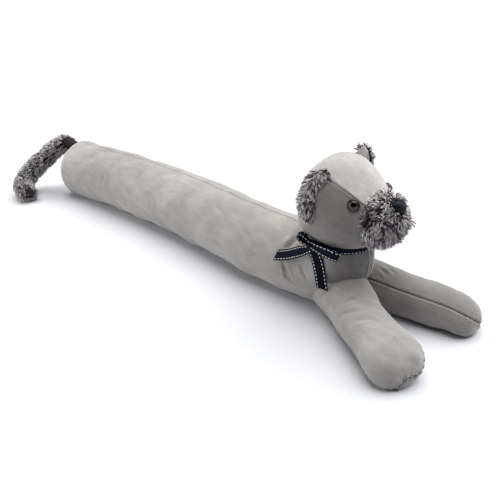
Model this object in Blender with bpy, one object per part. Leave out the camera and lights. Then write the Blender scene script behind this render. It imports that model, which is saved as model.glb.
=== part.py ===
"""Draught excluder in the form of a lying dog: a stuffed suede tube with neck, head and
forelegs, faux-fur muzzle, ears and tail, and a saddle-stitched ribbon tied in a bow.

Metres, +Z up, the dog looks along +X and its left side is +Y. The shapes are drawn with
x = 0 at the shoulder and the floor at z = 0; the last step moves the whole object so that
the origin is the bottom centre of its bounding box.
"""

import math
import random
from collections import namedtuple

import bmesh
import bpy
import numpy as np
from mathutils import Matrix, Vector
from mathutils.bvhtree import BVHTree

# Driving dimensions
BODY_END_X = -0.539
BODY_RADIUS = 0.054
BODY_SINK = 0.0040
END_ROUNDING = 0.030
SEAM_DEPTH = 0.0014
SEWN_GAP = 0.0003
EYE_DIAMETER = 0.016
EYE_HEIGHT = 0.0062
RIBBON_WIDTH = 0.015
RIBBON_THICKNESS = 0.0011
PILE_LUMP = 0.0016
LOCK_LENGTH = 0.0060
LOWEST_LOCK = 0.125
SMALLEST_ROOT = 1.2e-5

# Points round each stuffed tube
AROUND_BODY = 36
AROUND_HEAD = 36
AROUND_LEG = 28
AROUND_TAIL = 18
AROUND_MUZZLE = 28

SUEDE = (0.52, 0.51, 0.49)
FUR = (0.42, 0.38, 0.38)
NAVY = (0.012, 0.014, 0.026)
BLACK = (0.010, 0.010, 0.012)
BROWN = (0.055, 0.025, 0.018)

UP = Vector((0.0, 0.0, 1.0))

# A slice of the body or head: its top and bottom points on the middle plane and its half width
Slice = namedtuple("Slice", "top_x top_z bottom_x bottom_z half_width mid_y")
LegRow = namedtuple("LegRow", "x top_z bottom_z half_width mid_y")
LegPlace = namedtuple("LegPlace", "root_x root_y turn_deg length girth crown seam_deg")
TailRow = namedtuple("TailRow", "x y z radius")
EarRow = namedtuple("EarRow", "root_x root_y root_z edge_x edge_y edge_z bulge")
RibbonRow = namedtuple("RibbonRow", "x y z across_x across_y across_z")
Fold = namedtuple("Fold", "x turn_deg reach_deg width depth slant")

BODY_TOP = 2 * BODY_RADIUS - BODY_SINK + 0.0025
BODY_LOW = -BODY_SINK

TORSO = [
    Slice(-0.507, BODY_TOP - 0.0010, -0.507, BODY_LOW, 0.0530, 0.001),
    Slice(-0.430, BODY_TOP + 0.0012, -0.430, BODY_LOW, 0.0540, 0.007),
    Slice(-0.340, BODY_TOP + 0.0020, -0.340, BODY_LOW, 0.0545, 0.013),
    Slice(-0.250, BODY_TOP + 0.0008, -0.250, BODY_LOW, 0.0540, 0.015),
    Slice(-0.160, BODY_TOP + 0.0010, -0.160, BODY_LOW, 0.0545, 0.012),
    Slice(-0.070, BODY_TOP - 0.0005, -0.070, BODY_LOW, 0.0545, 0.005),
    Slice(-0.010, BODY_TOP - 0.0015, -0.010, BODY_LOW, 0.0545, 0.001),
    Slice(0.030, 0.1050, 0.036, BODY_LOW, 0.0535, 0.000),
    Slice(0.052, 0.1020, 0.075, BODY_LOW, 0.0515, 0.000),
    Slice(0.064, 0.1010, 0.107, -0.002, 0.0500, 0.000),
    Slice(0.070, 0.0995, 0.135, 0.009, 0.0490, 0.000),
    Slice(0.0735, 0.0990, 0.158, 0.030, 0.0490, 0.000),
    Slice(0.0755, 0.1000, 0.1705, 0.054, 0.0490, 0.000),
    Slice(0.0770, 0.1030, 0.1758, 0.076, 0.0485, 0.000),
    Slice(0.0780, 0.1090, 0.1738, 0.095, 0.0475, 0.000),
    Slice(0.0785, 0.1160, 0.1705, 0.111, 0.0465, 0.000),
]

# Creases pressed into the body where it bends up into the neck
TORSO_FOLDS = [
    Fold(-0.215, 205, 26, 0.0050, 0.0022, 0.000),
    Fold(0.012, 196, 40, 0.0060, 0.0035, 0.012),
    Fold(0.031, 204, 34, 0.0050, 0.0040, 0.016),
    Fold(0.048, 182, 22, 0.0050, 0.0030, 0.018),
    Fold(0.018, 344, 38, 0.0060, 0.0035, -0.012),
    Fold(0.040, 338, 30, 0.0050, 0.0035, -0.014),
]

HEAD = [
    Slice(0.0840, 0.1860, 0.0850, 0.1140, 0.0400, 0.0),
    Slice(0.0925, 0.2040, 0.0940, 0.1020, 0.0520, 0.0),
    Slice(0.1085, 0.2155, 0.1095, 0.0965, 0.0590, 0.0),
    Slice(0.1275, 0.2170, 0.1270, 0.0955, 0.0615, 0.0),
    Slice(0.1460, 0.2095, 0.1440, 0.0970, 0.0585, 0.0),
    Slice(0.1605, 0.1982, 0.1580, 0.1005, 0.0525, 0.0),
    Slice(0.1735, 0.1855, 0.1690, 0.1055, 0.0455, 0.0),
    Slice(0.1860, 0.1735, 0.1810, 0.1135, 0.0365, 0.0),
    Slice(0.1950, 0.1625, 0.1900, 0.1255, 0.0255, 0.0),
]
HEAD_SEAM_DEG = 42
JAW_FULLNESS = 2.5
MUZZLE_CENTRE = Vector((0.1832, 0.0, 0.1468))
MUZZLE_SIZE = Vector((0.0372, 0.0412, 0.0388))
MUZZLE_TILT_DEG = 12
NOSE_CENTRE = Vector((0.2045, 0.0, 0.1705))
EYE_CENTRE = Vector((0.1680, 0.0393, 0.1717))

# Foreleg along its own +X, from inside the chest to the toe
FORELEG = [
    LegRow(0.004, 0.058, -0.003, 0.0300, 0.000),
    LegRow(0.030, 0.063, -0.004, 0.0340, 0.002),
    LegRow(0.062, 0.061, -0.004, 0.0340, 0.003),
    LegRow(0.095, 0.057, -0.004, 0.0325, 0.001),
    LegRow(0.130, 0.055, -0.004, 0.0335, 0.000),
    LegRow(0.155, 0.055, -0.004, 0.0355, 0.000),
    LegRow(0.170, 0.053, -0.004, 0.0365, 0.000),
]
FORELEG_LENGTH = 0.199
# Where a leg is rooted, its turn, its length, its girth, how far it bulges at the chest and
# where its seam runs along the inner side
NEAR_LEG = LegPlace(0.118, -0.003, -29.0, 0.199, 1.02, 0.0035, 39)
FAR_LEG = LegPlace(0.107, 0.023, 12.5, 0.203, 0.98, 0.0, 141)
LEGS_MEET = (0.155, 0.0071)
LEGS_MEET_TURN_DEG = -8.5

TAIL = [
    TailRow(-0.530, 0.000, 0.0940, 0.0165),
    TailRow(-0.548, -0.010, 0.1005, 0.0195),
    TailRow(-0.567, -0.026, 0.0900, 0.0213),
    TailRow(-0.582, -0.0465, 0.0690, 0.0218),
    TailRow(-0.5955, -0.0700, 0.0450, 0.0216),
    TailRow(-0.5915, -0.0915, 0.0270, 0.0212),
    TailRow(-0.5710, -0.1050, 0.0205, 0.0215),
    TailRow(-0.5500, -0.1090, 0.0185, 0.0210),
]

# Ear of the dog's right side: where it is sewn to the head, and its free edge
RIGHT_EAR = [
    EarRow(0.1365, -0.0435, 0.1946, 0.1295, -0.0442, 0.2105, 0.000),
    EarRow(0.1283, -0.0500, 0.1891, 0.1155, -0.0475, 0.2075, 0.003),
    EarRow(0.1246, -0.0563, 0.1796, 0.1058, -0.0572, 0.1935, 0.005),
    EarRow(0.1239, -0.0603, 0.1675, 0.1030, -0.0620, 0.1772, 0.005),
    EarRow(0.1241, -0.0615, 0.1547, 0.1040, -0.0638, 0.1608, 0.005),
    EarRow(0.1230, -0.0605, 0.1450, 0.1075, -0.0628, 0.1480, 0.003),
    EarRow(0.1194, -0.0583, 0.1370, 0.1115, -0.0600, 0.1375, 0.001),
]
LEFT_EAR = [
    EarRow(0.1365, 0.0435, 0.1946, 0.1317, 0.0448, 0.2160, 0.000),
    EarRow(0.1283, 0.0500, 0.1891, 0.1215, 0.0515, 0.2200, 0.003),
    EarRow(0.1246, 0.0563, 0.1796, 0.1070, 0.0590, 0.2125, 0.005),
    EarRow(0.1239, 0.0603, 0.1675, 0.1005, 0.0685, 0.1960, 0.005),
    EarRow(0.1241, 0.0615, 0.1547, 0.0975, 0.0705, 0.1760, 0.005),
    EarRow(0.1230, 0.0605, 0.1450, 0.1005, 0.0675, 0.1560, 0.003),
    EarRow(0.1194, 0.0583, 0.1370, 0.1075, 0.0610, 0.1400, 0.001),
]
EAR_THICKNESS = 0.011

# The loops and ends of the bow, each a strip of ribbon that starts at the knot
KNOT_CENTRE = Vector((0.1220, -0.0555, 0.1085))
KNOT_SIZE = Vector((0.0075, 0.0048, 0.0080))
BACK_LOOP = [
    RibbonRow(0.1214, -0.0559, 0.1110, 0.38, -0.925, 0.033),
    RibbonRow(0.1158, -0.0577, 0.1168, 0.38, -0.925, 0.033),
    RibbonRow(0.1101, -0.0598, 0.1222, 0.38, -0.925, 0.033),
    RibbonRow(0.1055, -0.0622, 0.1249, 0.38, -0.925, 0.033),
    RibbonRow(0.1030, -0.0650, 0.1243, 0.38, -0.925, 0.033),
    RibbonRow(0.1040, -0.0665, 0.1209, 0.38, -0.925, 0.033),
    RibbonRow(0.1078, -0.0654, 0.1169, 0.38, -0.925, 0.033),
    RibbonRow(0.1143, -0.0619, 0.1128, 0.38, -0.925, 0.033),
    RibbonRow(0.1206, -0.0581, 0.1090, 0.38, -0.925, 0.033),
]
FRONT_LOOP = [
    RibbonRow(0.1210, -0.0575, 0.1110, 0.10, 0.00, 1.00),
    RibbonRow(0.1300, -0.0615, 0.1114, 0.15, 0.00, 0.98),
    RibbonRow(0.1410, -0.0610, 0.1098, 0.20, 0.00, 0.96),
    RibbonRow(0.1510, -0.0582, 0.1074, 0.30, 0.00, 0.94),
    RibbonRow(0.1580, -0.0543, 0.1045, 0.40, 0.00, 0.91),
    RibbonRow(0.1600, -0.0503, 0.1018, 0.42, 0.00, 0.90),
    RibbonRow(0.1545, -0.0487, 0.0998, 0.40, 0.00, 0.91),
    RibbonRow(0.1450, -0.0513, 0.0998, 0.30, 0.00, 0.94),
    RibbonRow(0.1340, -0.0543, 0.1025, 0.20, 0.00, 0.96),
    RibbonRow(0.1215, -0.0550, 0.1070, 0.10, 0.00, 1.00),
]
BACK_END = [
    RibbonRow(0.1195, -0.0548, 0.1030, -0.10, 0.10, 0.98),
    RibbonRow(0.1070, -0.0546, 0.0955, -0.15, 0.16, 0.97),
    RibbonRow(0.0920, -0.0532, 0.0865, -0.22, 0.25, 0.93),
    RibbonRow(0.0780, -0.0520, 0.0785, -0.30, 0.32, 0.89),
    RibbonRow(0.0665, -0.0517, 0.0738, -0.35, 0.36, 0.86),
    RibbonRow(0.0590, -0.0522, 0.0712, -0.38, 0.36, 0.85),
]
FRONT_END = [
    RibbonRow(0.1235, -0.0545, 0.1045, 0.95, 0.25, 0.12),
    RibbonRow(0.1290, -0.0530, 0.0955, 0.93, 0.32, 0.12),
    RibbonRow(0.1345, -0.0515, 0.0840, 0.90, 0.40, 0.13),
    RibbonRow(0.1385, -0.0515, 0.0720, 0.88, 0.44, 0.15),
    RibbonRow(0.1420, -0.0530, 0.0600, 0.88, 0.42, 0.17),
    RibbonRow(0.1445, -0.0545, 0.0520, 0.89, 0.38, 0.18),
]


def clear_scene():
    for obj in list(bpy.data.objects):
        bpy.data.objects.remove(obj)


def material(name, colour, roughness=0.9, metallic=0.0):
    made = bpy.data.materials.get(name)
    if made:
        return made
    made = bpy.data.materials.new(name)
    made.use_nodes = True
    shader = made.node_tree.nodes["Principled BSDF"]
    shader.inputs["Base Color"].default_value = (*colour, 1.0)
    shader.inputs["Roughness"].default_value = roughness
    shader.inputs["Metallic"].default_value = metallic
    return made


def smooth_rows(rows, steps):
    """The table's rows again, `steps` of them, read off a smooth curve through every column."""
    table = np.array(rows, float)
    gaps = np.linalg.norm(np.diff(table, axis=0), axis=1)
    knots = np.concatenate([[0.0], np.cumsum(gaps)])
    slopes = np.gradient(table, knots, axis=0)
    wanted = np.linspace(0.0, knots[-1], steps)
    index = np.clip(np.searchsorted(knots, wanted, side="right") - 1, 0, len(rows) - 2)
    span = (knots[index + 1] - knots[index])[:, None]
    t = ((wanted - knots[index])[:, None]) / span
    start, end = table[index], table[index + 1]
    rise_start, rise_end = slopes[index] * span, slopes[index + 1] * span
    curve = (
        (2 * t**3 - 3 * t**2 + 1) * start
        + (t**3 - 2 * t**2 + t) * rise_start
        + (3 * t**2 - 2 * t**3) * end
        + (t**3 - t**2) * rise_end
    )
    return [type(rows[0])(*line) for line in curve]


def new_object(name, mesh, finish):
    obj = bpy.data.objects.new(name, mesh)
    bpy.context.scene.collection.objects.link(obj)
    mesh.materials.append(finish)
    mesh.shade_smooth()
    return obj


def loft(name, rings, finish, caps="fan"):
    """A closed solid through rings of points, its ends closed by a fan or by one face."""
    bm = bmesh.new()
    rows = [[bm.verts.new(p) for p in ring] for ring in rings]
    for row, following in zip(rows, rows[1:]):
        for i in range(len(row)):
            j = (i + 1) % len(row)
            bm.faces.new((row[i], row[j], following[j], following[i]))
    for row in (rows[0], rows[-1]):
        if caps == "face":
            bm.faces.new(row)
            continue
        middle = bm.verts.new(sum((v.co for v in row), Vector()) / len(row))
        for i in range(len(row)):
            bm.faces.new((row[i], row[(i + 1) % len(row)], middle))
    bmesh.ops.triangulate(bm, faces=bm.faces)
    bmesh.ops.recalc_face_normals(bm, faces=bm.faces)
    mesh = bpy.data.meshes.new(name)
    bm.to_mesh(mesh)
    bm.free()
    return new_object(name, mesh, finish)


def oval(middle, side, upward, around, grooves=(), fullness=2.0):
    """A ring of points round `middle`; a groove is a seam at that angle, drawn inward, and
    a fullness over 2 rounds out the lower half."""
    points = []
    step = 2 * math.pi / around
    for i in range(around):
        angle = i * step
        cos, sin = math.cos(angle), math.sin(angle)
        power = fullness if sin < 0 else 2.0
        swell = (abs(cos) ** power + abs(sin) ** power) ** (-1 / power)
        arm = (side * cos + upward * sin) * swell
        for groove in grooves:
            if abs(math.remainder(angle - math.radians(groove), 2 * math.pi)) < step / 2:
                arm -= arm.normalized() * SEAM_DEPTH
        points.append(middle + arm)
    return points


def slice_ring(row, around, scale=1.0, grooves=(), fullness=2.0):
    top = Vector((row.top_x, row.mid_y, row.top_z))
    bottom = Vector((row.bottom_x, row.mid_y, row.bottom_z))
    side = Vector((0.0, row.half_width * scale, 0.0))
    upward = (top - bottom) / 2 * scale
    return oval((top + bottom) / 2, side, upward, around, grooves, fullness)


def settle(ring):
    """Presses a ring flat where it would sink below the floor."""
    return [Vector((p.x, p.y, max(p.z, 0.0))) for p in ring]


def shifted(row, x):
    return row._replace(top_x=x, bottom_x=x)


def rounded_end_rings(row, end_x, rounding, around, grooves, steps=5):
    """Rings from the nearly flat sewn-in end panel out over its rounded edge."""
    rings = []
    flat_share = 1 - rounding / BODY_RADIUS
    for share, crown in ((0.25, 0.0), (0.62, 0.0008)):
        rings.append(
            slice_ring(shifted(row, end_x + crown), around, share * flat_share, ())
        )
    for k in range(steps):
        angle = math.pi / 2 * k / steps
        scale = flat_share + (1 - flat_share) * math.sin(angle)
        x = end_x + 0.002 + rounding * (1 - math.cos(angle))
        rings.append(slice_ring(shifted(row, x), around, scale, grooves))
    return rings


def press_folds(rings, folds, around):
    """Sinks each crease of the table into the rings that it crosses."""
    pressed = []
    for ring in rings:
        middle = sum(ring, Vector()) / len(ring)
        line = []
        for i, point in enumerate(ring):
            turn = 360 * i / around
            sink = 0.0
            for fold in folds:
                off = math.remainder(turn - fold.turn_deg, 360)
                if abs(off) > fold.reach_deg:
                    continue
                centre_x = fold.x + fold.slant * off / fold.reach_deg
                along = (point.x - centre_x) / fold.width
                ends = math.cos(math.pi / 2 * off / fold.reach_deg) ** 2
                sink += fold.depth * math.exp(-along * along) * ends
            line.append(point + (middle - point).normalized() * sink)
        pressed.append(line)
    return pressed


def inflated_copy(obj, by):
    """A hidden cutter: the object's final shape, grown by the sewing gap."""
    made = bpy.data.objects.get(obj.name + "_cutter")
    if made:
        return made
    graph = bpy.context.evaluated_depsgraph_get()
    mesh = bpy.data.meshes.new_from_object(obj.evaluated_get(graph))
    mesh.transform(obj.matrix_world)
    bm = bmesh.new()
    bm.from_mesh(mesh)
    bmesh.ops.remove_doubles(bm, verts=bm.verts, dist=1e-6)
    bm.normal_update()
    moves = [v.normal * by for v in bm.verts]
    for vert, move in zip(bm.verts, moves):
        vert.co += move
    bm.to_mesh(mesh)
    bm.free()
    cutter = bpy.data.objects.new(obj.name + "_cutter", mesh)
    bpy.context.scene.collection.objects.link(cutter)
    cutter.hide_render = True
    cutter.display_type = "WIRE"
    return cutter


def sew_against(obj, *neighbours):
    """Cuts the piece back to its neighbours' surfaces, where it is sewn on."""
    for neighbour in neighbours:
        cut = obj.modifiers.new("against_" + neighbour.name, "BOOLEAN")
        cut.operation = "DIFFERENCE"
        cut.solver = "EXACT"
        cut.object = inflated_copy(neighbour, SEWN_GAP)
        bpy.context.view_layer.update()


def part_legs(leg, side):
    """Cuts a leg off at the upright plane where the two legs meet in front of the chest."""
    bm = bmesh.new()
    bmesh.ops.create_cube(bm, size=0.3)
    bmesh.ops.translate(bm, verts=bm.verts, vec=(0.0, -side * (0.15 - SEWN_GAP / 2), 0.0))
    mesh = bpy.data.meshes.new(leg.name + "_parting")
    bm.to_mesh(mesh)
    bm.free()
    cutter = bpy.data.objects.new(leg.name + "_parting", mesh)
    bpy.context.scene.collection.objects.link(cutter)
    cutter.location = (*LEGS_MEET, 0.0)
    cutter.rotation_euler = (0.0, 0.0, math.radians(LEGS_MEET_TURN_DEG))
    cutter.hide_render = True
    cutter.display_type = "WIRE"
    cut = leg.modifiers.new("parting", "BOOLEAN")
    cut.operation = "DIFFERENCE"
    cut.solver = "EXACT"
    cut.object = cutter
    bpy.context.view_layer.update()


def make_torso(suede):
    seams = (90, 230, 310)
    rows = smooth_rows(TORSO, 44)
    rings = rounded_end_rings(rows[0], BODY_END_X, END_ROUNDING, AROUND_BODY, seams)
    rings += [slice_ring(row, AROUND_BODY, 1.0, seams) for row in rows]
    neck = rows[-1]
    rings = press_folds(rings, TORSO_FOLDS, AROUND_BODY)
    for rise, share in ((0.004, 0.90), (0.005, 0.5)):
        top = neck._replace(top_z=neck.top_z + rise, bottom_z=neck.bottom_z + rise)
        rings.append(slice_ring(top, AROUND_BODY, share))
    return loft("torso", [settle(ring) for ring in rings], suede)


def make_head(suede):
    seams = (HEAD_SEAM_DEG, 180 - HEAD_SEAM_DEG)
    rows = smooth_rows(HEAD, 19)
    first, last = rows[0], rows[-1]
    rings = []
    for share, back in ((0.35, 0.0095), (0.68, 0.0065), (0.88, 0.0028)):
        moved = first._replace(top_x=first.top_x - back, bottom_x=first.bottom_x - back)
        rings.append(slice_ring(moved, AROUND_HEAD, share, (), JAW_FULLNESS))
    rings += [slice_ring(row, AROUND_HEAD, 1.0, seams, JAW_FULLNESS) for row in rows]
    for share, forward in ((0.8, 0.004), (0.4, 0.007)):
        moved = last._replace(top_x=last.top_x + forward, bottom_x=last.bottom_x + forward)
        rings.append(slice_ring(moved, AROUND_HEAD, share, (), JAW_FULLNESS))
    return loft("head", rings, suede)


def leg_ring(row, seam_deg, scale=1.0, drop=0.0):
    middle = Vector((row.x, row.mid_y, (row.top_z + row.bottom_z) / 2 - drop))
    upward = UP * (row.top_z - row.bottom_z) / 2 * scale
    side = Vector((0.0, row.half_width * scale, 0.0))
    return oval(middle, side, upward, AROUND_LEG, (seam_deg, seam_deg + 180))


def make_leg(name, place, suede):
    stretch = place.length / FORELEG_LENGTH
    table = []
    for i, row in enumerate(FORELEG):
        crown = place.crown if i in (1, 2) else 0.0
        wide = row.half_width * place.girth
        table.append(row._replace(x=row.x * stretch, half_width=wide, top_z=row.top_z + crown))
    rows = smooth_rows(table, 17)
    seam = place.seam_deg
    rings = [leg_ring(rows[0], seam, 0.5), leg_ring(rows[0], seam, 0.85)]
    rings += [leg_ring(row, seam) for row in rows]
    toe_start = rows[-1]
    toe = place.length - toe_start.x
    for k in range(1, 7):
        angle = math.pi / 2 * k / 6.6
        row = toe_start._replace(x=toe_start.x + toe * math.sin(angle))
        rings.append(leg_ring(row, seam, math.cos(angle) ** 0.75, 0.006 * math.sin(angle)))
    leg = loft(name, [settle(ring) for ring in rings], suede)
    leg.location = (place.root_x, place.root_y, 0.0)
    leg.rotation_euler = (0.0, 0.0, math.radians(place.turn_deg))
    bpy.context.view_layer.update()
    return leg


def lumpy(obj, seed, amount=PILE_LUMP):
    """The uneven surface of long pile, the same each time."""
    draw = random.Random(seed)
    for vert in obj.data.vertices:
        if vert.co.z > 0.001:
            vert.co += vert.normal * draw.uniform(-amount, amount)


def make_muzzle(fur, head, torso):
    """A ball of fur sewn to the face, with pointed locks standing out round its rim."""
    rings = []
    steps = 15
    for k in range(1, steps):
        angle = math.pi * k / steps
        middle = Vector((-MUZZLE_SIZE.x * math.cos(angle), 0.0, 0.0))
        side = Vector((0.0, MUZZLE_SIZE.y * math.sin(angle), 0.0))
        upward = UP * MUZZLE_SIZE.z * math.sin(angle)
        rings.append(oval(middle, side, upward, AROUND_MUZZLE))
    muzzle = loft("muzzle", rings, fur)
    muzzle.data.transform(Matrix.Rotation(math.radians(MUZZLE_TILT_DEG), 4, "Y"))
    muzzle.data.transform(Matrix.Translation(MUZZLE_CENTRE))
    lumpy(muzzle, 3)
    sew_against(muzzle, torso, head)
    graph = bpy.context.evaluated_depsgraph_get()
    sewn = bpy.data.meshes.new_from_object(muzzle.evaluated_get(graph))
    muzzle.modifiers.clear()
    muzzle.data = sewn
    pull_rim_locks(muzzle, BVHTree.FromObject(head, graph))
    return muzzle


def pull_rim_locks(muzzle, head_tree):
    """Draws every other face beside the head out into a lock of fur."""
    draw = random.Random(4)
    bm = bmesh.new()
    bm.from_mesh(muzzle.data)
    bm.normal_update()
    picked = []
    for face in bm.faces:
        middle = face.calc_center_median()
        from_head = head_tree.find_nearest(middle)[3]
        whole = len(face.verts) == 3 and face.calc_area() > SMALLEST_ROOT
        beside_head = whole and 0.003 < from_head < 0.011
        if beside_head and middle.z > LOWEST_LOCK and face.index % 3 == 0:
            picked.append(face)
    made = bmesh.ops.extrude_discrete_faces(bm, faces=picked)
    for face in made["faces"]:
        middle = face.calc_center_median()
        away = face.normal + (middle - MUZZLE_CENTRE).normalized() * 0.6
        tip = middle + away.normalized() * LOCK_LENGTH * draw.uniform(0.75, 1.2)
        for vert in face.verts:
            vert.co = tip + (vert.co - middle) * 0.12
    bmesh.ops.recalc_face_normals(bm, faces=bm.faces)
    bm.to_mesh(muzzle.data)
    bm.free()
    muzzle.data.shade_smooth()


def tail_frames(rows):
    points = [Vector((r.x, r.y, r.z)) for r in rows]
    frames = []
    for i, point in enumerate(points):
        ahead = points[min(i + 1, len(points) - 1)] - points[max(i - 1, 0)]
        side = ahead.cross(UP).normalized()
        frames.append((point, side, side.cross(ahead).normalized()))
    return frames


def make_tail(fur):
    rows = smooth_rows(TAIL, 24)
    frames = tail_frames(rows)
    rings = []
    for row, (point, side, upward) in zip(rows, frames):
        rings.append(oval(point, side * row.radius, upward * row.radius, AROUND_TAIL))
    point, side, upward = frames[-1]
    ahead = (point - frames[-2][0]).normalized()
    radius = rows[-1].radius
    for k in range(1, 5):
        angle = math.pi / 2 * k / 4.6
        wide = radius * math.cos(angle)
        middle = point + ahead * radius * math.sin(angle)
        rings.append(oval(middle, side * wide, upward * wide, AROUND_TAIL))
    tail = loft("tail", [settle(ring) for ring in rings], fur)
    lumpy(tail, 5, 0.0012)
    return tail


def make_ear(name, table, fur):
    """A padded flap whose cross-sections run from its top corner to its tip."""
    rings = []
    for row in smooth_rows(table, 13):
        root = Vector((row.root_x, row.root_y, row.root_z))
        edge = Vector((row.edge_x, row.edge_y, row.edge_z))
        across = edge - root
        facing = Vector((0.75, math.copysign(0.65, row.root_y), 0.1))
        facing -= across * facing.dot(across) / across.length_squared
        facing.normalize()
        ring = []
        for i in range(14):
            angle = 2 * math.pi * i / 14
            t = 0.5 - 0.5 * math.cos(angle)
            half = EAR_THICKNESS / 2 * math.sin(angle)
            bulge = row.bulge * math.sin(math.pi * t)
            ring.append(root + across * t + facing * (half + bulge))
        rings.append(ring)
    ear = loft(name, rings, fur)
    lumpy(ear, 6, 0.0010)
    return ear


def dome(name, centre, normal, radii, height, finish, segments=20, rings=5):
    """A low dome with a flat back, standing on `centre` and facing along `normal`."""
    turn = normal.normalized().to_track_quat("Z", "Y")
    loops = []
    for k in range(rings):
        angle = math.pi / 2 * k / rings
        loop = []
        for i in range(segments):
            spin = 2 * math.pi * i / segments
            flat = Vector((radii[0] * math.cos(spin), radii[1] * math.sin(spin), 0.0))
            raised = flat * math.cos(angle) + UP * height * math.sin(angle)
            loop.append(centre + turn @ raised)
        loops.append(loop)
    return loft(name, loops, finish)


def make_eye(name, mirrored, finish):
    side = 1 if mirrored else -1
    centre = Vector((EYE_CENTRE.x, EYE_CENTRE.y * side, EYE_CENTRE.z))
    normal = Vector((0.52, 0.80 * side, 0.30)).normalized()
    radius = EYE_DIAMETER / 2
    seat = centre - normal * 0.004
    return dome(name, seat, normal, (radius, radius), EYE_HEIGHT + 0.003, finish, 24)


def make_nose(finish):
    normal = Vector((0.80, 0.0, 0.60))
    seat = NOSE_CENTRE - normal * 0.003
    return dome("nose", seat, normal, (0.0095, 0.0088), 0.0120, finish, 20)


def strip(name, rows, steps, finish, cut_slant):
    """A length of ribbon along the rows, gathered where it enters the knot. cut_slant is
    how far a free end is cut askew; a loop has none, for it enters the knot at both ends."""
    rings = []
    smooth = smooth_rows(rows, steps)
    points = [Vector((r.x, r.y, r.z)) for r in smooth]
    for i, row in enumerate(smooth):
        ahead = points[min(i + 1, steps - 1)] - points[max(i - 1, 0)]
        ahead.normalize()
        across = Vector((row.across_x, row.across_y, row.across_z))
        along = i / (steps - 1)
        from_knot = along if cut_slant else min(along, 1 - along)
        width = RIBBON_WIDTH * (0.5 + 0.5 * math.sin(math.pi / 2 * min(from_knot / 0.3, 1)))
        across = (across - ahead * across.dot(ahead)).normalized() * width / 2
        through = across.cross(ahead).normalized() * RIBBON_THICKNESS / 2
        across += ahead * cut_slant * along**4
        rings.append(
            [
                points[i] + across + through,
                points[i] - across + through,
                points[i] - across - through,
                points[i] + across - through,
            ]
        )
    return loft(name, rings, finish, caps="face")


def make_collar(ribbon):
    """The ribbon round the neck, a closed band that follows the neck's oval."""
    bm = bmesh.new()
    segments = 56
    loops = []
    for i in range(segments):
        angle = 2 * math.pi * i / segments
        out = Vector((math.cos(angle), math.sin(angle), 0.0))
        loop = []
        for away, level in ((0.0, -1), (1.0, -1), (1.0, 1), (0.0, 1)):
            reach_x = 0.0490 + away * RIBBON_THICKNESS
            reach_y = 0.0490 + away * RIBBON_THICKNESS
            x = 0.1255 + out.x * reach_x
            z = 0.1080 + (0.168 - x) * 0.035 + level * RIBBON_WIDTH / 2
            loop.append(bm.verts.new((x, out.y * reach_y, z)))
        loops.append(loop)
    for i, loop in enumerate(loops):
        following = loops[(i + 1) % segments]
        for k in range(4):
            j = (k + 1) % 4
            bm.faces.new((loop[k], loop[j], following[j], following[k]))
    bmesh.ops.recalc_face_normals(bm, faces=bm.faces)
    mesh = bpy.data.meshes.new("collar")
    bm.to_mesh(mesh)
    bm.free()
    return new_object("collar", mesh, ribbon)


def make_knot(ribbon):
    rings = []
    steps = 8
    for k in range(1, steps):
        angle = math.pi * k / steps
        size = math.sin(angle) ** 0.6
        middle = KNOT_CENTRE + Vector((KNOT_SIZE.x * -math.cos(angle), 0.0, 0.0))
        side = Vector((0.0, KNOT_SIZE.y * size, 0.0))
        rings.append(oval(middle, side, UP * KNOT_SIZE.z * size, 14))
    return loft("bow_knot", rings, ribbon)


def stand_on_origin():
    """Moves everything so that the origin is the bottom centre of the bounding box."""
    graph = bpy.context.evaluated_depsgraph_get()
    low, high = np.full(3, np.inf), np.full(3, -np.inf)
    shown = [o for o in bpy.data.objects if o.type == "MESH" and not o.hide_render]
    for obj in shown:
        mesh = obj.evaluated_get(graph).to_mesh()
        points = np.array([obj.matrix_world @ v.co for v in mesh.vertices])
        low, high = np.minimum(low, points.min(0)), np.maximum(high, points.max(0))
    shift = Vector((-(low[0] + high[0]) / 2, -(low[1] + high[1]) / 2, -low[2]))
    for obj in bpy.data.objects:
        if obj.parent is None:
            obj.location += shift
    bpy.context.view_layer.update()
    return shift


def main():
    clear_scene()
    suede = material("suede", SUEDE, 0.95)
    fur = material("fur", FUR, 0.9)
    ribbon = material("ribbon", NAVY, 0.8)
    glass = material("eye_plastic", BROWN, 0.12)
    velvet = material("nose_plastic", BLACK, 0.45)

    torso = make_torso(suede)
    head = make_head(suede)
    sew_against(head, torso)
    near_leg = make_leg("foreleg_right", NEAR_LEG, suede)
    sew_against(near_leg, torso)
    part_legs(near_leg, -1)
    far_leg = make_leg("foreleg_left", FAR_LEG, suede)
    sew_against(far_leg, torso)
    part_legs(far_leg, 1)
    muzzle = make_muzzle(fur, head, torso)
    tail = make_tail(fur)
    sew_against(tail, torso)
    for name, table in (("ear_right", RIGHT_EAR), ("ear_left", LEFT_EAR)):
        sew_against(make_ear(name, table, fur), head)
    for name, mirrored in (("eye_right", False), ("eye_left", True)):
        sew_against(make_eye(name, mirrored, glass), head, muzzle)
    sew_against(make_nose(velvet), muzzle)

    collar = make_collar(ribbon)
    sew_against(collar, torso, head, muzzle)
    knot = make_knot(ribbon)
    sew_against(knot, collar)
    bow = []
    for name, rows, steps, cut_slant in (
        ("bow_loop_back", BACK_LOOP, 22, 0.0),
        ("bow_loop_front", FRONT_LOOP, 26, 0.0),
        ("bow_end_back", BACK_END, 14, -0.004),
        ("bow_end_front", FRONT_END, 14, 0.0035),
    ):
        made = strip(name, rows, steps, ribbon, cut_slant)
        sew_against(made, knot, *bow)
        bow.append(made)
    stand_on_origin()


main()
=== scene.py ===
"""Draught excluder dog: suede body with sewn seams and folds, mesh fur, saddle-stitched ribbon.

The pieces are drawn in the part's drawing frame, x = 0 at the shoulder and the floor at z = 0,
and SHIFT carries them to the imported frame.
"""

import math

import bmesh
import bpy
import numpy as np
from mathutils import Matrix, Vector
from mathutils.kdtree import KDTree


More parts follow.
